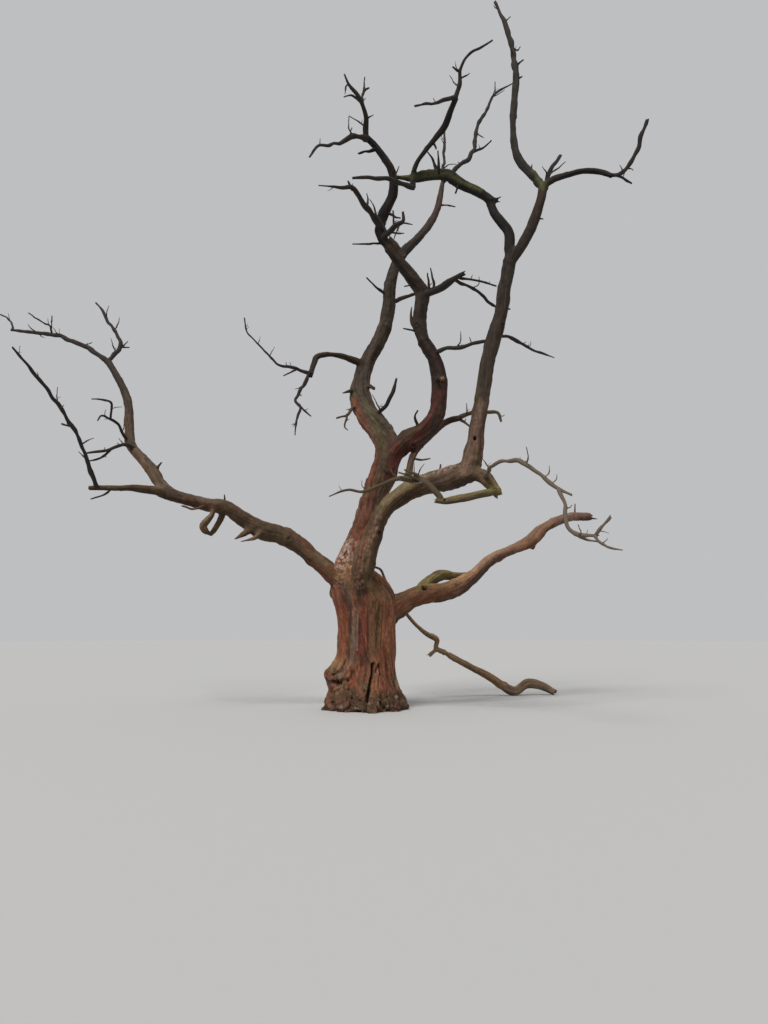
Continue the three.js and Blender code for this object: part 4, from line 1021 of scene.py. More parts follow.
def knotsOn(name, reach, turn, radius):
    # raised knots, each with a hole, at seeded places on a limb
    line, some = lines[name], relief["knots"]
    chance = np.random.default_rng(seedOf("knots", line["seed"]))
    height, pit = np.zeros(len(reach)), np.zeros(len(reach))
    for _ in range(round(line["reach"][-1] / some["pitch"])):
        at = chance.uniform(some["from"], some["to"]) * line["reach"][-1]
        facing = chance.uniform(-math.pi, math.pi)
        wide = some["wide"] * chance.uniform(some["least"], some["most"])
        swing = (turn - facing + math.pi) % (2 * math.pi) - math.pi
        off = np.hypot((reach - at) / radius, swing) / wide
        height += some["rise"] * np.exp(-off**2) - some["hole"] * np.exp(-(off / some["holeWide"]) ** 2)
        pit += np.exp(-(off / some["pitWide"]) ** 2)
    return height, pit


def limbRelief(name, places, reach, turn, radius):
    # height of a limb's relief, and its painted shading: painted shade in the lows, painted highlight on the
    # crests
    line = lines[name]
    seed = seedOf("relief", line["seed"])
    rolled = spun(reach, turn, np.ones(len(reach)))
    ribs = layer(rolled, reach / line["mean"], relief["ribs"], seed)
    fibres = layer(spun(reach, turn, radius), reach, relief["fibres"], seed + 1, crest=True)
    lumps, bumps = (noise(places * relief[kind]["size"], relief[kind]["seed"]) for kind in ("lumps", "bumps"))
    knots, pit = knotsOn(name, reach, turn, radius)
    height = radius * (relief["ribs"]["depth"] * ribs + relief["lumps"]["depth"] * lumps
                       + relief["bumps"]["depth"] * bumps + knots)
    height += np.minimum(relief["fibres"]["depth"] * radius, relief["fibres"]["most"]) * fibres
    hollow = (relief["ribs"]["hollow"] * ribs + relief["fibres"]["hollow"] * fibres
              + relief["bumps"]["hollow"] * bumps - relief["knots"]["hollow"] * pit)
    return height, hollow


def trunkBark(places, height, turn, half):
    # height of the trunk's relief, and its painted shading: painted shade in the lows and pits, painted
    # highlight on the crests and knobs
    sway, warp, knob, burl = trunkRelief["sway"], trunkRelief["warp"], trunkRelief["knob"], trunk["burl"]
    across = np.stack([half * np.cos(turn), half * np.sin(turn)], axis=1)
    across += sway["depth"] * noise(places * sway["size"], sway["seed"])[:, None]
    grain = {kind: layer(across, height, trunkRelief[kind], trunkRelief[kind]["seed"], crest=kind != "ribs")
             for kind in ("ribs", "fibres", "threads")}
    off = ((turn - burl["side"]) / burl["wide"]) ** 2 + ((height - burl["height"]) / burl["tall"]) ** 2
    gnarled = {"foot": np.exp(-((height / trunkRelief["foot"]["tall"]) ** 2)),
               "burl": np.exp(-off / trunkRelief["burl"]["soft"])}
    bare = 1 - np.maximum(*(trunkRelief[part]["cover"] * how for part, how in gnarled.items()))
    rise = bare * sum(trunkRelief[kind]["depth"] * some for kind, some in grain.items())
    hollow = bare * sum(trunkRelief[kind]["hollow"] * some for kind, some in grain.items())
    shape = np.array(knob["shape"])
    bent = [noise(places * warp["size"], warp["seed"] + axis) for axis in range(3)]
    warped = places + warp["depth"] * np.stack(bent, axis=1)
    for part, how in gnarled.items():
        some = trunkRelief[part]
        knobs = knobbly(warped * some["size"] * shape, some["seeds"][0])
        crumbs = knobbly(warped * some["fine"] * shape, some["seeds"][1])
        pits = smooth(*knob["pit"], noise(warped * some["pits"] * shape, some["seeds"][2]))
        rise += how * (some["depth"] * knobs + some["fineDepth"] * crumbs - some["pitDepth"] * pits)
        hollow += how * (knob["hollow"] * knobs + knob["hollow"] * crumbs - knob["pitPaintedShade"] * pits)
    return rise, hollow


# Colours of the wood, as seen in soft light
tones = {
    "russet": "653d28", "ember": "854328", "oxblood": "632a20", "ash": "7f7161", "olive": "4d4027",
    "tan": "8b6a47", "flake": "b59c8e", "mauve": "4e3c33", "rose": "744a39", "umber": "302115",
    # Near black, the first tone on the next line, serves for dark streaks in the dark wood and for painted
    # shade in holes, cracks, creases, under the crotch and under limbs
    "soot": "15100c", "moss": "55552a", "lichen": "746d38", "straw": "887a54", "drift": "6d5a47",
    "rust": "66361f", "bark": "382f28", "spar": "5f5037", "sienna": "502f20", "hazel": "564029",
    "rosyBrown": "6b4934", "blush": "836758", "darkTwig": "2b2420", "brownTwig": "3b3029",
    "mossTwig": "3a3828", "dimTwig": "4a3e2c", "greyTwig": "605447", "paleTwig": "7d6f60",
}


def toneOf(name):
    parts = np.array([int(tones[name][i:i + 2], 16) / 255 for i in (0, 2, 4)])
    return np.where(parts <= 0.04045, parts / 12.92, ((parts + 0.055) / 1.055) ** 2.4)


# Each wood's base, the streaks along its grain (tone, how much of the wood, how strong), the tone of its
# upper side, which stands for moss, lichen and bleaching and in part is painted light from above, and how its
# surface takes light
woods = {
    "trunk": {
        "base": "russet", "top": "tan", "topShare": 0.35, "slot": "trunk_wood",
        "streaks": [("olive", 0.5, 0.7), ("ember", 0.25, 0.4), ("oxblood", 0.35, 0.55), ("ash", 0.25, 0.5),
                    ("umber", 0.4, 0.65)],
    },
    "backStem": {
        "base": "drift", "top": "olive", "topShare": 0.4, "slot": "trunk_wood",
        "streaks": [("rust", 0.4, 0.6), ("olive", 0.5, 0.7), ("umber", 0.4, 0.6)],
    },
    "bough": {
        "base": "hazel", "top": "drift", "topShare": 0.45, "slot": "bough_wood",
        "streaks": [("rust", 0.4, 0.6), ("mauve", 0.45, 0.6), ("olive", 0.45, 0.6), ("drift", 0.3, 0.45),
                    ("umber", 0.45, 0.65)],
    },
    "innerStem": {
        "base": "sienna", "top": "olive", "topShare": 0.6, "slot": "bough_wood",
        "streaks": [("oxblood", 0.4, 0.6), ("olive", 0.45, 0.65), ("umber", 0.45, 0.65)],
    },
    "rightArm": {
        "base": "rosyBrown", "top": "tan", "topShare": 0.5, "slot": "bough_wood",
        "streaks": [("rust", 0.45, 0.6), ("olive", 0.4, 0.5), ("oxblood", 0.3, 0.45), ("rose", 0.4, 0.6),
                    ("umber", 0.45, 0.65)],
    },
    "dark": {
        "base": "bark", "top": "moss", "topShare": 0.85, "slot": "dark_wood",
        "streaks": [("umber", 0.6, 0.8), ("mauve", 0.3, 0.5), ("soot", 0.4, 0.6)],
    },
    "mossy": {
        "base": "spar", "top": "lichen", "topShare": 0.6, "slot": "mossy_wood",
        "streaks": [("straw", 0.35, 0.5), ("rust", 0.4, 0.6), ("umber", 0.45, 0.7)],
    },
    "fallen": {
        "base": "drift", "top": "tan", "topShare": 0.4, "slot": "fallen_wood",
        "streaks": [("mauve", 0.45, 0.6), ("tan", 0.4, 0.5), ("umber", 0.35, 0.6)],
    },
}

# How streaks are drawn, and how dark the painted shade is in hollows, on undersides and up in the crown
painting = {
    "size": 8,
    "run": 0.8,
    "fine": {"size": 24, "run": 1.8, "share": 0.7, "seed": 20},
    "patch": {"size": 2.2, "share": 0.5, "seed": 80},
    "streak": {"least": 0.7, "grow": 1.1, "soft": 0.7},  # where it begins, by its share of the wood
    "above": {"from": 0.15, "full": 0.95, "ragged": 0.45, "size": 5, "seed": 30},
    "hollow": {"dark": 0.65, "deepest": -1.3},
    # Painted shade on faces that look down
    "under": {"dark": 0.5, "from": 0.1},
    # Painted shade that darkens the wood more the higher it stands, up into the crown
    "crown": {"from": 2.2, "full": 7.5, "dark": 0.73},  # by height
    "shades": (0.15, 1.5),  # the darkest and the lightest
}


def woodTone(kind, places, out, reach, turn, radius, hollow, seed):
    # colour of one wood at each of its points, with its painted shade and painted highlight
    wood, fine, patch, streak = woods[kind], painting["fine"], painting["patch"], painting["streak"]
    across = spun(reach, turn, radius)
    coarseGrain = np.column_stack([across * painting["size"], reach * painting["run"]])
    fineGrain = np.column_stack([across * fine["size"], reach * fine["run"]])
    tone = np.tile(toneOf(wood["base"]), (len(places), 1))
    for number, (name, share, strength) in enumerate(wood["streaks"]):
        field = (noise(coarseGrain, seed + number)
                 + fine["share"] * noise(fineGrain, seed + fine["seed"] + number)
                 + patch["share"] * noise(places * patch["size"], patch["seed"] + number))
        cut = streak["least"] - streak["grow"] * share
        tone += (strength * smooth(cut, cut + streak["soft"], field))[:, None] * (toneOf(name) - tone)
    above, deep, under, crown = (painting[key] for key in ("above", "hollow", "under", "crown"))
    # The upper side takes its top tone: moss and lichen that grow there, bleaching, and in part painted light
    # from above
    ragged = above["ragged"] * noise(places * above["size"], above["seed"])
    top = smooth(above["from"], above["full"], out[:, 2] + ragged) * wood["topShare"]
    tone += top[:, None] * (toneOf(wood["top"]) - tone)
    # Painted shade in the lows of the relief, painted highlight on its crests, and painted shade on faces
    # that look down
    shade = (1 + deep["dark"] * np.clip(hollow, deep["deepest"], 1)
             - under["dark"] * smooth(under["from"], 1, -out[:, 2]))
    # Painted shade that grows with height, so that the crown is darker
    shade *= 1 - crown["dark"] * smooth(crown["from"], crown["full"], places[:, 2])
    return tone * np.clip(shade, *painting["shades"])[:, None]


# Relief and colour of the fused skin: each limb's own, mixed where limbs run into each other
rise, tone = np.zeros(len(skin)), np.zeros((len(skin), 3))
grainAt, total = np.zeros((len(skin), 3)), np.zeros(len(skin))
for number, name in enumerate(owners):
    mine, say = held[name]["mine"], held[name]["say"]
    reach, turn, radius = held[name]["reach"], held[name]["turn"], held[name]["radius"]
    places, out = skin[mine], straight[mine]
    if name == "trunk":
        kind = "trunk"
        height, hollow = trunkBark(places, reach, turn, radius)
    else:
        kind = limbs[home[name]]["wood"]
        height, hollow = limbRelief(name, places, reach, turn, radius)
    colour = woodTone(kind, places, out, reach, turn, radius, hollow, seedOf("tone", number))
    say = say ** fusing["keen"]
    rise[mine] += say * height
    tone[mine] += say[:, None] * colour
    total[mine] += say
    leading = owner[mine] == number
    across = spun(reach, turn, radius)
    grainAt[mine[leading]] = np.column_stack([across + number, relief["slow"] * reach])[leading]
rise /= np.maximum(total, 1e-9)
tone /= np.maximum(total, 1e-9)[:, None]

# Stains at the trunk's foot: tone, cells to a metre, between which chances it comes, and how strong it is
footStains = [("hazel", 1.5, -1.2, 0.3, 0.6), ("umber", 3, -0.7, 0.5, 0.75), ("ash", 12, 0.35, 0.8, 0.6)]
footing = {"tall": 0.6, "full": 0.1, "ragged": 0.25, "size": 2.5, "seed": 33, "stainSeed": 34, "reach": 1.2}
ragged = footing["ragged"] * noise(skin * footing["size"], footing["seed"])
atFoot = smooth(footing["tall"], footing["full"], skin[:, 2] + ragged)
around = np.hypot(skin[:, 0], skin[:, 1]) < footing["reach"]
for stain, size, low, high, share in footStains:
    foot = share * atFoot * smooth(low, high, noise(skin * size, footing["stainSeed"])) * around
    tone += foot[:, None] * (toneOf(stain) - tone)
print("grain laid on")


def mark(tone, strength, wide, line, **how):
    # one thing that shows at one place: tone, how strong, how wide and where in the photo's pixels, and
    # sink, how deep the wood is sunk there in metres, or whether it is sharp, flaky or made of dots
    return {"tone": tone, "strength": strength, "wide": wide, "line": line, **how}


# What shows on the side towards the photo
marks = {
    "emberBand": mark("ember", 0.85, 4.6, [(343, 606), (344.5, 630), (344, 648)]),
    "emberThread": mark("ember", 0.7, 1.8, [(354, 598), (354, 616)]),
    "darkThread": mark("umber", 0.8, 2, [(350, 608), (350.5, 634)], sink=0.02),
    "greyStreak": mark("ash", 0.45, 2.4, [(354.5, 606), (353.5, 640), (351, 662)]),
    "paleThread": mark("flake", 0.35, 1, [(357.5, 615), (356.5, 650)]),
    "redBand": mark("oxblood", 0.9, 5.2, [(363, 604), (364, 630), (361, 652)]),
    "redGroove": mark("umber", 0.6, 1.8, [(368, 606), (368.5, 650)], sink=0.02),
    "oliveField": mark("olive", 0.6, 7.5, [(375, 588), (376, 615), (376, 643)]),
    "redFlank": mark("oxblood", 0.7, 4, [(334, 590), (339, 612)]),
    # Painted shade under the crotch, sunk a little like a crease
    "forkStain": mark("soot", 0.7, 6, [(345, 584), (346, 610)], sink=0.03),
    "boughShade": mark("soot", 0.8, 7, [(359, 570), (359, 604)]),
    "paleFlakes": mark("flake", 0.9, 9, [(351, 545), (341, 566)], flaky=1),
    "tanFlakes": mark("tan", 0.75, 8, [(345, 566), (337, 586)], flaky=1),
    "rightTan": mark("tan", 0.5, 4.5, [(370, 585), (386, 601)]),
    "rightRusset": mark("russet", 0.6, 5, [(389, 606), (389, 660)]),
    # Painted shade inside the cracks, which are also sunk
    "longCrack": mark("soot", 0.95, 1.6, [(372.8, 664), (372, 676), (369.6, 688),
        (366.5, 701)], sink=0.1, sharp=1),
    "crackFoot": mark("soot", 0.7, 2.2, [(369, 690), (366, 702)], sink=0.05),
    "shortCrack": mark("soot", 0.85, 1.1, [(378, 664), (379.3, 675)], sink=0.05, sharp=1),
    "slantCrack": mark("umber", 0.7, 1, [(377.6, 665), (374.9, 673), (373.8, 683)], sink=0.03),
    "paleRidge": mark("tan", 0.6, 1.3, [(374.5, 674), (372.8, 686), (370.5, 699)], sink=-0.02),
    "burlTan": mark("hazel", 0.7, 8, [(333, 664), (338, 674)]),
    # Painted shade inside the burl's creases, which are also sunk
    "burlCreases": mark("soot", 0.8, 1.5, [(345, 660), (341, 671), (332, 675)], sink=0.03),
    # Painted highlight along a raised edge of the burl
    "burlHighlight": mark("tan", 0.5, 2, [(336, 661), (331, 670)], sink=-0.02),
    # Painted shade inside the holes of the foot, which are also sunk
    "footHoles": mark("soot", 0.9, 2.2, [(364, 691), (348, 690), (380.5, 703), (394, 700),
        (332, 703)], sink=0.06, dots=1),
    "pinholes": mark("soot", 0.9, 1.3, [(359, 695), (352, 698), (387, 697)], sink=0.04, dots=1),
    # Painted shade in the sunk hollow under the burl
    "underBurlShade": mark("soot", 0.9, 2.6, [(332, 682), (339, 684), (347, 680)], sink=0.1),
    "burlRoot": mark("tan", 0.5, 1.8, [(350, 674), (343, 684), (336, 690)], sink=-0.05),
    "sideKnob": mark("umber", 0.6, 2.2, [(351, 668), (351, 671)], sink=-0.05),
    "footRed": mark("oxblood", 0.6, 3, [(351, 679), (350, 687)]),
    "leftFootDark": mark("umber", 0.6, 4, [(333, 698), (338, 708)]),
    "stemRed": mark("rust", 0.5, 5, [(352, 548), (362, 520), (368, 496)]),
    "stemShade": mark("umber", 0.4, 12, [(362, 530), (374, 492), (388, 458)]),
    "forkShade": mark("umber", 0.6, 8, [(384, 470), (386, 446), (381, 428)]),
    "innerShade": mark("soot", 0.45, 8, [(431, 424), (438, 398), (438, 377), (430, 350), (420, 325),
        (421, 300)]),
    "tallShade": mark("soot", 0.45, 9, [(478, 436), (489, 366), (500, 310), (508, 262)]),
    "archShade": mark("soot", 0.6, 9, [(504, 292), (510, 258), (507, 228), (495, 210), (490, 198),
        (476, 192)]),
    "rightShade": mark("soot", 0.35, 8, [(517, 255), (531, 230), (541, 196)]),
    "fallenPale": mark("tan", 0.6, 5, [(441, 652), (465, 663), (488, 675), (504, 686)]),
    "stemDark": mark("umber", 0.6, 5, [(376, 510), (384, 484)]),
    "stemOlive": mark("olive", 0.6, 4, [(377, 482), (384, 455), (383, 432)]),
    "stemOxblood": mark("oxblood", 0.75, 6, [(394, 476), (397, 450)]),
    "leftStemRed": mark("ember", 0.6, 5, [(354, 402), (362, 420), (373, 444), (370, 470)]),
    "leftStemOlive": mark("moss", 0.35, 4, [(366, 402), (376, 426), (383, 446)]),
    "innerRed": mark("oxblood", 0.6, 4, [(404, 452), (428, 424), (440, 392)]),
    "armRoot": mark("oxblood", 0.55, 5, [(338, 588), (322, 574), (306, 560)]),
    "armOlive": mark("olive", 0.6, 4, [(318, 562), (290, 542), (262, 524)]),
    "armShade": mark("soot", 0.5, 8, [(296, 541), (280, 534), (258, 528), (240, 517), (222, 507),
        (196, 502), (168, 494)]),
    "armLichen": mark("lichen", 0.7, 6.5, [(416, 588), (432, 578), (452, 573)]),
    "armRose": mark("rust", 0.8, 6, [(394, 606), (430, 598), (450, 592)]),
    "armPale": mark("blush", 0.55, 6, [(470, 570), (500, 550), (530, 534), (548, 520), (580, 514)]),
    # Painted shade on the underside of the right arm
    "armUnder": mark("umber", 0.6, 5, [(440, 600), (462, 589), (488, 568), (512, 553)]),
    "armEnd": mark("blush", 0.5, 5, [(562, 516), (588, 514)]),
    "boughPale": mark("blush", 0.6, 6, [(359, 585), (362, 560), (369, 539), (381, 516)], flaky=1),
    "boughOlive": mark("straw", 0.45, 5.5, [(380, 508), (398, 490), (424, 476)]),
    "boughMauve": mark("mauve", 0.55, 8, [(432, 482), (452, 474), (466, 471)]),
    "boughSpeckle": mark("flake", 0.45, 4, [(436, 472), (446, 468), (456, 466)], flaky=1),
    "boughFlank": mark("rust", 0.7, 2.5, [(357, 586), (360, 560), (366, 540)]),
    # Painted shade on the right side of the front bough
    "boughDark": mark("umber", 0.75, 5, [(372, 575), (376, 552), (390, 522)]),
    "elbowRose": mark("blush", 0.45, 6, [(462, 474), (470, 458), (475, 432), (480, 405)]),
    "elbowLichen": mark("lichen", 0.7, 5, [(490, 486), (498, 492)]),
    "archMoss": mark("moss", 0.55, 3.4, [(402, 177), (430, 174.5), (447, 174), (462, 182), (480, 190)]),
    "leaderMoss": mark("moss", 0.8, 5, [(534, 170), (543, 186)]),
    "crownMoss": mark("moss", 0.7, 5, [(388, 222), (402, 236)]),
    # Painted shade inside the holes in the tall bough and the right arm, which are also sunk
    "tallHole": mark("soot", 0.95, 1.8, [(475, 438), (475, 439)], sink=0.07, sharp=1),
    "armHole": mark("soot", 0.95, 2.4, [(424, 588), (425, 588)], sink=0.09, sharp=1),
    "stemKnot": mark("tan", 0.8, 2.2, [(441, 379), (442, 379)], sink=-0.04),
    # Painted shade inside the sunk hole in the hooked spar
    "sparHole": mark("soot", 0.95, 1.1, [(444.7, 500), (444.7, 500.6)], sink=0.04, sharp=1),
}


def fromLine(spots, line):
    # distance of each spot from a line of points in the picture
    apart = np.full(len(spots), np.inf)
    for start, end in zip(np.array(line[:-1]), np.array(line[1:])):
        along = np.clip((spots - start) @ (end - start) / max((end - start) @ (end - start), 1e-9), 0, 1)
        apart = np.minimum(apart, np.linalg.norm(spots - start - along[:, None] * (end - start), axis=1))
    return apart


# How a mark is laid on, with its room in its own widths, and how its edge is ragged: cells across and along
laying = {
    "room": 2.5,
    "facing": (-0.1, 0.25),  # out of sight, and in full sight
    "rags": ((9, 1), (24, 3), (60, 8)),
    "ragged": (0.35, 0.35, 0.25),
    "seed": 60,
    "sharp": (0.5, 1.1),
    "soft": (0.1, 1.35),
    "broken": {"from": -0.5, "full": 0.3, "fine": 0.6, "least": 0.5},
    "flakes": {"size": (17, 17, 11), "seed": 61, "rise": 0.016, "from": -0.5, "full": 0.35, "fine": 0.4},
}
broken, flaking = laying["broken"], laying["flakes"]
pixels = pixelOf(skin)
eye = np.array([view["right"], -view["distance"], view["height"]])
facing = (unit(eye - skin) * straight).sum(axis=1)
for how in marks.values():
    line, room, sharp = np.array(how["line"], dtype=float), laying["room"] * how["wide"], "sharp" in how
    shown = ((pixels > line.min(axis=0) - room) & (pixels < line.max(axis=0) + room)).all(axis=1)
    near = np.flatnonzero(shown & (facing > laying["facing"][0]))
    along = [noise(np.column_stack([skin[near, :2] * wide, skin[near, 2] * tall]), laying["seed"] + wide)
             for wide, tall in laying["rags"]]
    ragged = laying["ragged"][1] * along[1]
    if not sharp:
        ragged = laying["ragged"][0] * along[0] + ragged + laying["ragged"][2] * along[2]
    strokes = [[dot, dot] for dot in line] if "dots" in how else [line]
    apart = np.min([fromLine(pixels[near], stroke) for stroke in strokes], axis=0) / how["wide"] + ragged
    inside = 1 - smooth(*laying["sharp" if sharp else "soft"], apart)
    inside *= smooth(*laying["facing"], facing[near])
    if not sharp:
        whole = smooth(broken["from"], broken["full"], along[1] + broken["fine"] * along[2])
        inside *= broken["least"] + (1 - broken["least"]) * whole
    if "flaky" in how:
        flakes = knobbly(skin[near] * flaking["size"], flaking["seed"])
        rise[near] += flaking["rise"] * flakes * inside
        inside = inside * smooth(flaking["from"], flaking["full"], flakes + flaking["fine"] * along[2])
    strength = (how["strength"] * inside)[:, None]
    tone[near] += strength * (toneOf(how["tone"]) - tone[near])
    rise[near] -= how.get("sink", 0) * inside
skin = skin + straight * rise[:, None]
skin[:, 2] = np.maximum(skin[:, 2], 0)
straight = outwards(skin, quads)
print("marks made")


# Every limb keeps one whole patch of the skin
def largestPatches(owner, edges):
    patch = np.arange(len(owner))
    same = edges[owner[edges[:, 0]] == owner[edges[:, 1]]]
    while True:
        before = patch.copy()
        low = np.minimum(patch[same[:, 0]], patch[same[:, 1]])
        np.minimum.at(patch, same[:, 0], low)
        np.minimum.at(patch, same[:, 1], low)
        patch = patch[patch]
        if (patch == before).all():
            break
    size = np.bincount(patch, minlength=len(owner))
    kept = np.zeros(len(owner), dtype=bool)
    for number in range(len(nodes)):
        mine = np.flatnonzero(owner == number)
        if len(mine):
            kept[mine] = patch[mine] == patch[mine][size[patch[mine]].argmax()]
    owner = np.where(kept, owner, -1)
    bare = True
    while bare:
        bare = False
        for here, there in ((0, 1), (1, 0)):
            bareEdge = (owner[edges[:, here]] < 0) & (owner[edges[:, there]] >= 0)
            owner[edges[bareEdge, here]] = owner[edges[bareEdge, there]]
            bare = bare or bareEdge.any()
    return owner


owner = largestPatches(np.array([nodes.index(home[name]) for name in owners])[owner], edges)
quads = quads[(owner[quads] >= 0).all(axis=1)]  # crumbs that touch no limb are left out
corners = owner[quads]
votes = (corners[:, :, None] == corners[:, None, :]).sum(axis=2)
faceOwner = corners[np.arange(len(quads)), votes.argmax(axis=1)]


# The finish of bare wood: its painted tone with its painted shade and highlight, fine fibres along the grain,
# and flakes
finishes = {
    "trunk": {"fibre": 26, "flake": 16, "contrast": 0.8, "bump": 0.6, "rough": (0.62, 0.92)},
    "backStem": {"fibre": 26, "flake": 20, "contrast": 0.55, "bump": 0.5, "rough": (0.62, 0.92)},
    "bough": {"fibre": 26, "flake": 22, "contrast": 0.6, "bump": 0.5, "rough": (0.62, 0.92)},
    "innerStem": {"fibre": 26, "flake": 20, "contrast": 0.55, "bump": 0.5, "rough": (0.6, 0.9)},
    "rightArm": {"fibre": 24, "flake": 18, "contrast": 0.55, "bump": 0.5, "rough": (0.6, 0.9)},
    "dark": {"fibre": 30, "flake": 30, "contrast": 0.5, "bump": 0.5, "rough": (0.7, 0.95)},
    "mossy": {"fibre": 24, "flake": 40, "contrast": 0.7, "bump": 0.8, "rough": (0.8, 1.0)},
    "fallen": {"fibre": 28, "flake": 26, "contrast": 0.55, "bump": 0.5, "rough": (0.7, 0.95)},
}


# What all finishes share: threads beside fibres, flecks, and how light is taken
surface = {"threads": 3.5, "mottle": 0.7, "strands": (0.8, 1.2), "flecks": (0.3, 0.7), "deep": 0.02,
           "shine": 0.3}


def newMaterial(name):
    # a material, its shader, its links and a function that adds a node to it
    material = bpy.data.materials.new(name)
    material.use_nodes = True
    nodes, links = material.node_tree.nodes, material.node_tree.links

    def add(kind, inputs=(), **settings):
        node = nodes.new(kind)
        for key, value in settings.items():
            setattr(node, key, value)
        for key, value in dict(inputs).items():
            if isinstance(value, bpy.types.NodeSocket):
                links.new(value, node.inputs[key])
            else:
                node.inputs[key].default_value = value
        return node

    return material, nodes["Principled BSDF"], links, add


def woodMaterial(name, finish):
    material, shader, links, add = newMaterial(name)
    # The painted tone holds the wood's colour with its painted shade and highlight
    tone = add("ShaderNodeAttribute", attribute_name="woodTone")
    grain = add("ShaderNodeAttribute", attribute_name="woodGrain")
    place = add("ShaderNodeTexCoord")
    fibre = add("ShaderNodeTexNoise", {"Vector": grain.outputs["Vector"], "Scale": finish["fibre"],
                                       "Detail": 7, "Roughness": 0.65, "Distortion": 0.15})
    thread = add("ShaderNodeTexNoise", {"Vector": grain.outputs["Vector"], "Detail": 4,
                                        "Scale": surface["threads"] * finish["fibre"], "Roughness": 0.6})
    flake = add("ShaderNodeTexNoise", {"Vector": place.outputs["Object"], "Scale": finish["flake"],
                                       "Detail": 6, "Roughness": 0.65})
    half = finish["contrast"] / 2
    some = surface["mottle"] * half
    (thin, thick), (low, high) = surface["strands"], surface["flecks"]
    strands = add("ShaderNodeMath", {0: fibre.outputs["Fac"], 1: thread.outputs["Fac"]}, operation="ADD")
    shade = add("ShaderNodeMapRange", {"Value": strands.outputs[0], "From Min": thin, "From Max": thick,
                                       "To Min": 1 - half, "To Max": 1 + half})
    mottle = add("ShaderNodeMapRange", {"Value": flake.outputs["Fac"], "From Min": low, "From Max": high,
                                        "To Min": 1 - some, "To Max": 1 + some})
    both = add("ShaderNodeMath", {0: shade.outputs["Result"], 1: mottle.outputs["Result"]},
               operation="MULTIPLY")
    colour = add("ShaderNodeVectorMath", {0: tone.outputs["Vector"]}, operation="SCALE")
    links.new(both.outputs[0], colour.inputs["Scale"])
    links.new(colour.outputs["Vector"], shader.inputs["Base Color"])
    rough = add("ShaderNodeMapRange", {"Value": fibre.outputs["Fac"], "From Min": low, "From Max": high,
                                       "To Min": finish["rough"][1], "To Max": finish["rough"][0]})
    links.new(rough.outputs["Result"], shader.inputs["Roughness"])
    height = add("ShaderNodeMath", {0: strands.outputs[0], 1: flake.outputs["Fac"]}, operation="ADD")
    bump = add("ShaderNodeBump", {"Height": height.outputs[0], "Strength": finish["bump"],
                                  "Distance": surface["deep"]})
    links.new(bump.outputs["Normal"], shader.inputs["Normal"])
    shader.inputs["Specular IOR Level"].default_value = surface["shine"]
    return material


woodMaterials = {kind: woodMaterial(kind + "BareWood", finish) for kind, finish in finishes.items()}


# Thin spurs and snapped snags, in the tones of the wood that they stand on, darkened by painted shade
snags = {"spacing": 0.02, "sides": 8, "crooked": 0.5, "swell": 0.2, "dim": 0.8}


def spurBodies(name):
    bodies = []
    for number, (route, girth) in enumerate(limbs[name].get("spurs", [])):
        if max(girth) < tubes["fused"]:
            seed = seedOf("spur", nodes.index(name)) + number
            line = woodLine(seen(route), girth, snags["spacing"], seed, snags["crooked"], snags["swell"])
            bodies.append((line, *tubeBody(line, snags["sides"], True)))
    return bodies


def pieceName(node):
    words = node.split("_")
    if words[0] == "twigs":
        words = words[1:] + ["twigs"]
    else:
        words = words + ["wood"]
    return words[0] + "".join(word.capitalize() for word in words[1:])


def openingsOf(quads):
    # rings of corners round the places where a piece was parted from the rest of the skin
    count = quads.max() + 1
    start, end = quads.ravel(), np.roll(quads, -1, axis=1).ravel()
    border = ~np.isin(start * count + end, end * count + start)
    ahead = {}
    for there, here in zip(start[border].tolist(), end[border].tolist()):
        ahead.setdefault(here, []).append(there)
    rings = []
    while ahead:
        path = [next(iter(ahead))]
        while True:
            there = ahead[path[-1]].pop()
            if not ahead[path[-1]]:
                del ahead[path[-1]]
            if there in path:
                at = path.index(there)
                rings.append(path[at:])
                path = path[:at + 1]
                if at == 0:
                    break
            else:
                path.append(there)
    return rings


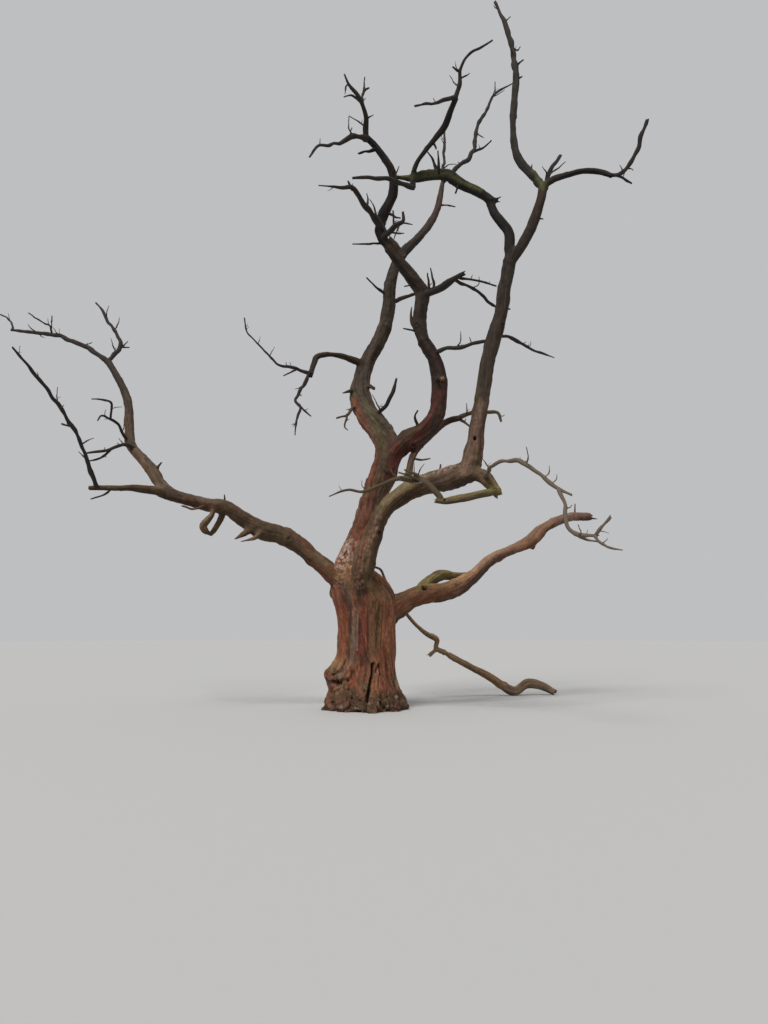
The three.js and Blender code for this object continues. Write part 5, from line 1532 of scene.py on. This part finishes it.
def limbPiece(name, number):
    # one limb's part of the skin, closed where the next limb begins, with its thin spurs
    kind = "trunk" if name == "trunk" else limbs[name]["wood"]
    used, mine = np.unique(quads[faceOwner == number], return_inverse=True)
    mine = mine.reshape(-1, 4)
    points, colours, grains = [skin[used]], [tone[used]], [grainAt[used]]
    faces, count = mine.tolist(), len(used)
    for ring in openingsOf(mine):
        points.append(skin[used][ring].mean(axis=0, keepdims=True))
        colours.append(tone[used][ring[:1]])
        grains.append(grainAt[used][ring[:1]])
        faces += [(here, there, count) for here, there in zip(ring, ring[1:] + ring[:1])]
        count += 1
    for line, spots, theirs in spurBodies(name) if name != "trunk" else []:
        gap, reach, turn, radius = onLine(line, spots)
        at = np.searchsorted(line["reach"], reach).clip(0, len(line["reach"]) - 1)
        out = unit(spots - line["place"][at])
        flat = np.zeros(len(spots))
        points.append(spots)
        # Thin spurs are darkened as painted shade
        colours.append(woodTone(kind, spots, out, reach, turn, radius, flat, line["seed"]) * snags["dim"])
        grains.append(np.column_stack([spun(reach, turn, radius) + number, relief["slow"] * reach]))
        faces += [tuple(count + corner for corner in face) for face in theirs]
        count += len(spots)
    mesh = meshOf(pieceName(name), np.vstack(points), faces)
    colours = np.clip(np.vstack(colours), 0, 1)
    toneLayer = mesh.attributes.new("woodTone", "FLOAT_COLOR", "POINT")
    toneLayer.data.foreach_set("color", np.column_stack([colours, np.ones(len(colours))]).ravel())
    grainLayer = mesh.attributes.new("woodGrain", "FLOAT_VECTOR", "POINT")
    grainLayer.data.foreach_set("vector", np.vstack(grains).ravel())
    mesh.shade_smooth()
    normals = np.empty(3 * count)
    mesh.vertex_normals.foreach_get("vector", normals)
    normals = normals.reshape(-1, 3)
    normals[:len(used)] = straight[used]  # so that no seam shows where two pieces meet
    mesh.normals_split_custom_set_from_vertices(normals)
    mesh.materials.append(woodMaterials[kind])
    piece = placed(pieceName(name), mesh)
    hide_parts(name)
    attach(piece, "root")


for number, name in enumerate(nodes):
    limbPiece(name, number)
print("limbs made")

# The source's rule for short twigs on a stem, and the finer ones that stand on those
twigRule = {
    "seed": 100, "step": 0.01, "from": 0.2, "to": 0.95,
    "pitch": (6.6, 8.8), "length": (1.4, 2.8),  # least and spread, in stem widths
    "knee": {"out": 0.55, "on": 0.25, "girth": 0.75},
    "tip": {"out": 1, "on": 0.3, "girth": 0.35, "bend": 0.5},
    "girth": 0.4, "lift": 0.35, "thinnest": 0.012,
    "longest": 0.32,  # longer ones have snapped off
    "clear": 0.005,  # least distance from every limb
}
fineRule = {**twigRule, "pitch": (7, 9), "length": (1.5, 2.6), "from": 0.3, "girth": 0.45, "thinnest": 0.007}
chanceSteps = {"times": 1664525, "plus": 1013904223, "wrap": 4294967296}


def seeded(seed):
    state = seed

    def chance():
        nonlocal state
        state = (state * chanceSteps["times"] + chanceSteps["plus"]) % chanceSteps["wrap"]
        return state / chanceSteps["wrap"]

    return chance


def growTwigs(points, girth, seed, rule):
    # short twigs that stand out of a stem, with seeded sides, lengths and bends
    chance = seeded(seed)
    place, reach = walk(points, rule["step"])
    tangents = unit(np.gradient(place, axis=0))
    twigs = []
    walked = rule["from"] * reach[-1]
    while walked < rule["to"] * reach[-1]:
        share = walked / reach[-1]
        width = np.interp(share, np.linspace(0, 1, len(girth)), girth)
        root = np.array([np.interp(walked, reach, axis) for axis in place.T])
        tangent = unit(np.array([np.interp(walked, reach, axis) for axis in tangents.T]))
        side = np.array([chance() - 0.5, chance() - 0.5, rule["lift"] * chance()])
        side = unit(side - tangent * side.dot(tangent))
        out = min((rule["length"][0] + rule["length"][1] * chance()) * width, rule["longest"])
        knee = root + side * rule["knee"]["out"] * out + tangent * rule["knee"]["on"] * out
        tip = root + side * rule["tip"]["out"] * out + tangent * rule["tip"]["on"] * out
        bend = np.array([chance() - 0.5, chance() - 0.5, chance()])
        tip = tip + bend * rule["tip"]["bend"] * out
        thick = max(rule["girth"] * width, rule["thinnest"])
        twigs.append((np.array([root, knee, tip]),
                      [thick, rule["knee"]["girth"] * thick, rule["tip"]["girth"] * thick]))
        walked += (rule["pitch"][0] + rule["pitch"][1] * chance()) * width
    return twigs


def clearOfLimbs(twig):
    # true where a twig's knee and tip stand free of every limb
    for line in lines.values():
        apart = np.linalg.norm(twig[0][1:, None] - line["place"], axis=2) - line["radius"]
        if apart.min() < twigRule["clear"]:
            return False
    return True


# The plain finishes that each kind of mass is dealt, and their fine relief
dealt = {"dark": ("darkTwig", "brownTwig", "mossTwig"), "grey": ("dimTwig", "greyTwig", "brownTwig"),
         "pale": ("greyTwig", "paleTwig", "dimTwig")}
twigSkin = {"Scale": 60, "Detail": 4, "Strength": 0.4, "Distance": 0.01, "Roughness": 0.85}


def twigMaterial(name):
    material, shader, links, add = newMaterial(name)
    shader.inputs["Base Color"].default_value = (*toneOf(name), 1)
    place = add("ShaderNodeTexCoord")
    fleck = add("ShaderNodeTexNoise", {"Vector": place.outputs["Object"], "Scale": twigSkin["Scale"],
                                       "Detail": twigSkin["Detail"]})
    bump = add("ShaderNodeBump", {"Height": fleck.outputs["Fac"], "Strength": twigSkin["Strength"],
                                  "Distance": twigSkin["Distance"]})
    links.new(bump.outputs["Normal"], shader.inputs["Normal"])
    shader.inputs["Roughness"].default_value = twigSkin["Roughness"]
    shader.inputs["Specular IOR Level"].default_value = surface["shine"]
    return material


twigMaterials = {name: twigMaterial(name) for name in tones if name.endswith("Twig")}

# How a mass's stem, forks, twigs and finest twigs are drawn
twigTubes = {"stem": 10, "fork": 8, "twig": 6, "finest": 5, "spacing": 0.014, "inGirths": 1.1, "crooked": 0.6,
             "swell": 0.22}


def massPiece(name, index):
    mass = masses[name]
    stem = seen(mass["route"])
    sprays = [(stem, mass["girth"], twigTubes["stem"], 0)]
    sprays += [(seen(route), girth, twigTubes["fork"], 0) for route, girth in mass.get("forks", [])]
    stray = [twig for twig in growTwigs(stem, mass["girth"], twigRule["seed"] + index, twigRule)
             if clearOfLimbs(twig)]
    sprays += [(*twig, twigTubes["twig"], 1) for twig in stray]
    for number, spray in enumerate(list(sprays)):
        finer = growTwigs(spray[0], spray[1], seedOf("fine", index) + number, fineRule)
        sprays += [(*twig, twigTubes["finest"], 2) for twig in finer if clearOfLimbs(twig)]
    bodies, deals = [], []
    for number, (points, girth, sides, level) in enumerate(sprays):
        spacing = max(twigTubes["spacing"], twigTubes["inGirths"] * min(girth))
        seed = seedOf("spray", index) + number
        line = woodLine(points, girth, spacing, seed, twigTubes["crooked"], twigTubes["swell"])
        body = tubeBody(line, sides, level < 2)
        bodies.append(body)
        deals += [(number + index) % 3 if level else 0] * len(body[1])
    mesh = meshOf(pieceName(name), *joined(bodies))
    mesh.shade_smooth()
    for finish in dealt[mass["wood"]]:
        mesh.materials.append(twigMaterials[finish])
    mesh.polygons.foreach_set("material_index", deals)
    piece = placed(pieceName(name), mesh)
    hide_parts(name)
    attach(piece, "root")


for index, name in enumerate(masses):
    massPiece(name, index)
print("twigs grown")

# Floor and light
stage = {
    "floor": {"radius": 90, "sides": 128, "tone": (0.42, 0.415, 0.4, 1), "rough": 0.9, "low": -0.002},
    "sky": (0.74, 0.745, 0.76, 1),
    "skyStrength": 0.7,
    "sun": 2.9,
    "sunSoft": math.radians(20),
    "sunTurn": (math.radians(38), 0, math.radians(-28)),
}


def plainFloor():
    some = stage["floor"]
    body = bmesh.new()
    bmesh.ops.create_circle(body, cap_ends=True, segments=some["sides"], radius=some["radius"])
    mesh = bpy.data.meshes.new("paleFloor")
    body.to_mesh(mesh)
    body.free()
    material, shader = newMaterial("paleFloor")[:2]
    shader.inputs["Base Color"].default_value = some["tone"]
    shader.inputs["Roughness"].default_value = some["rough"]
    mesh.materials.append(material)
    floor = placed("paleFloor", mesh)
    floor.location.z = some["low"]


plainFloor()
world = bpy.data.worlds.new("softSky")
world.use_nodes = True
world.node_tree.nodes["Background"].inputs["Color"].default_value = stage["sky"]
world.node_tree.nodes["Background"].inputs["Strength"].default_value = stage["skyStrength"]
bpy.context.scene.world = world
bpy.context.scene.view_settings.view_transform = "Standard"
sunData = bpy.data.lights.new("softSun", "SUN")
sunData.energy = stage["sun"]
sunData.angle = stage["sunSoft"]
sun = placed("softSun", sunData)
sun.rotation_euler = stage["sunTurn"]
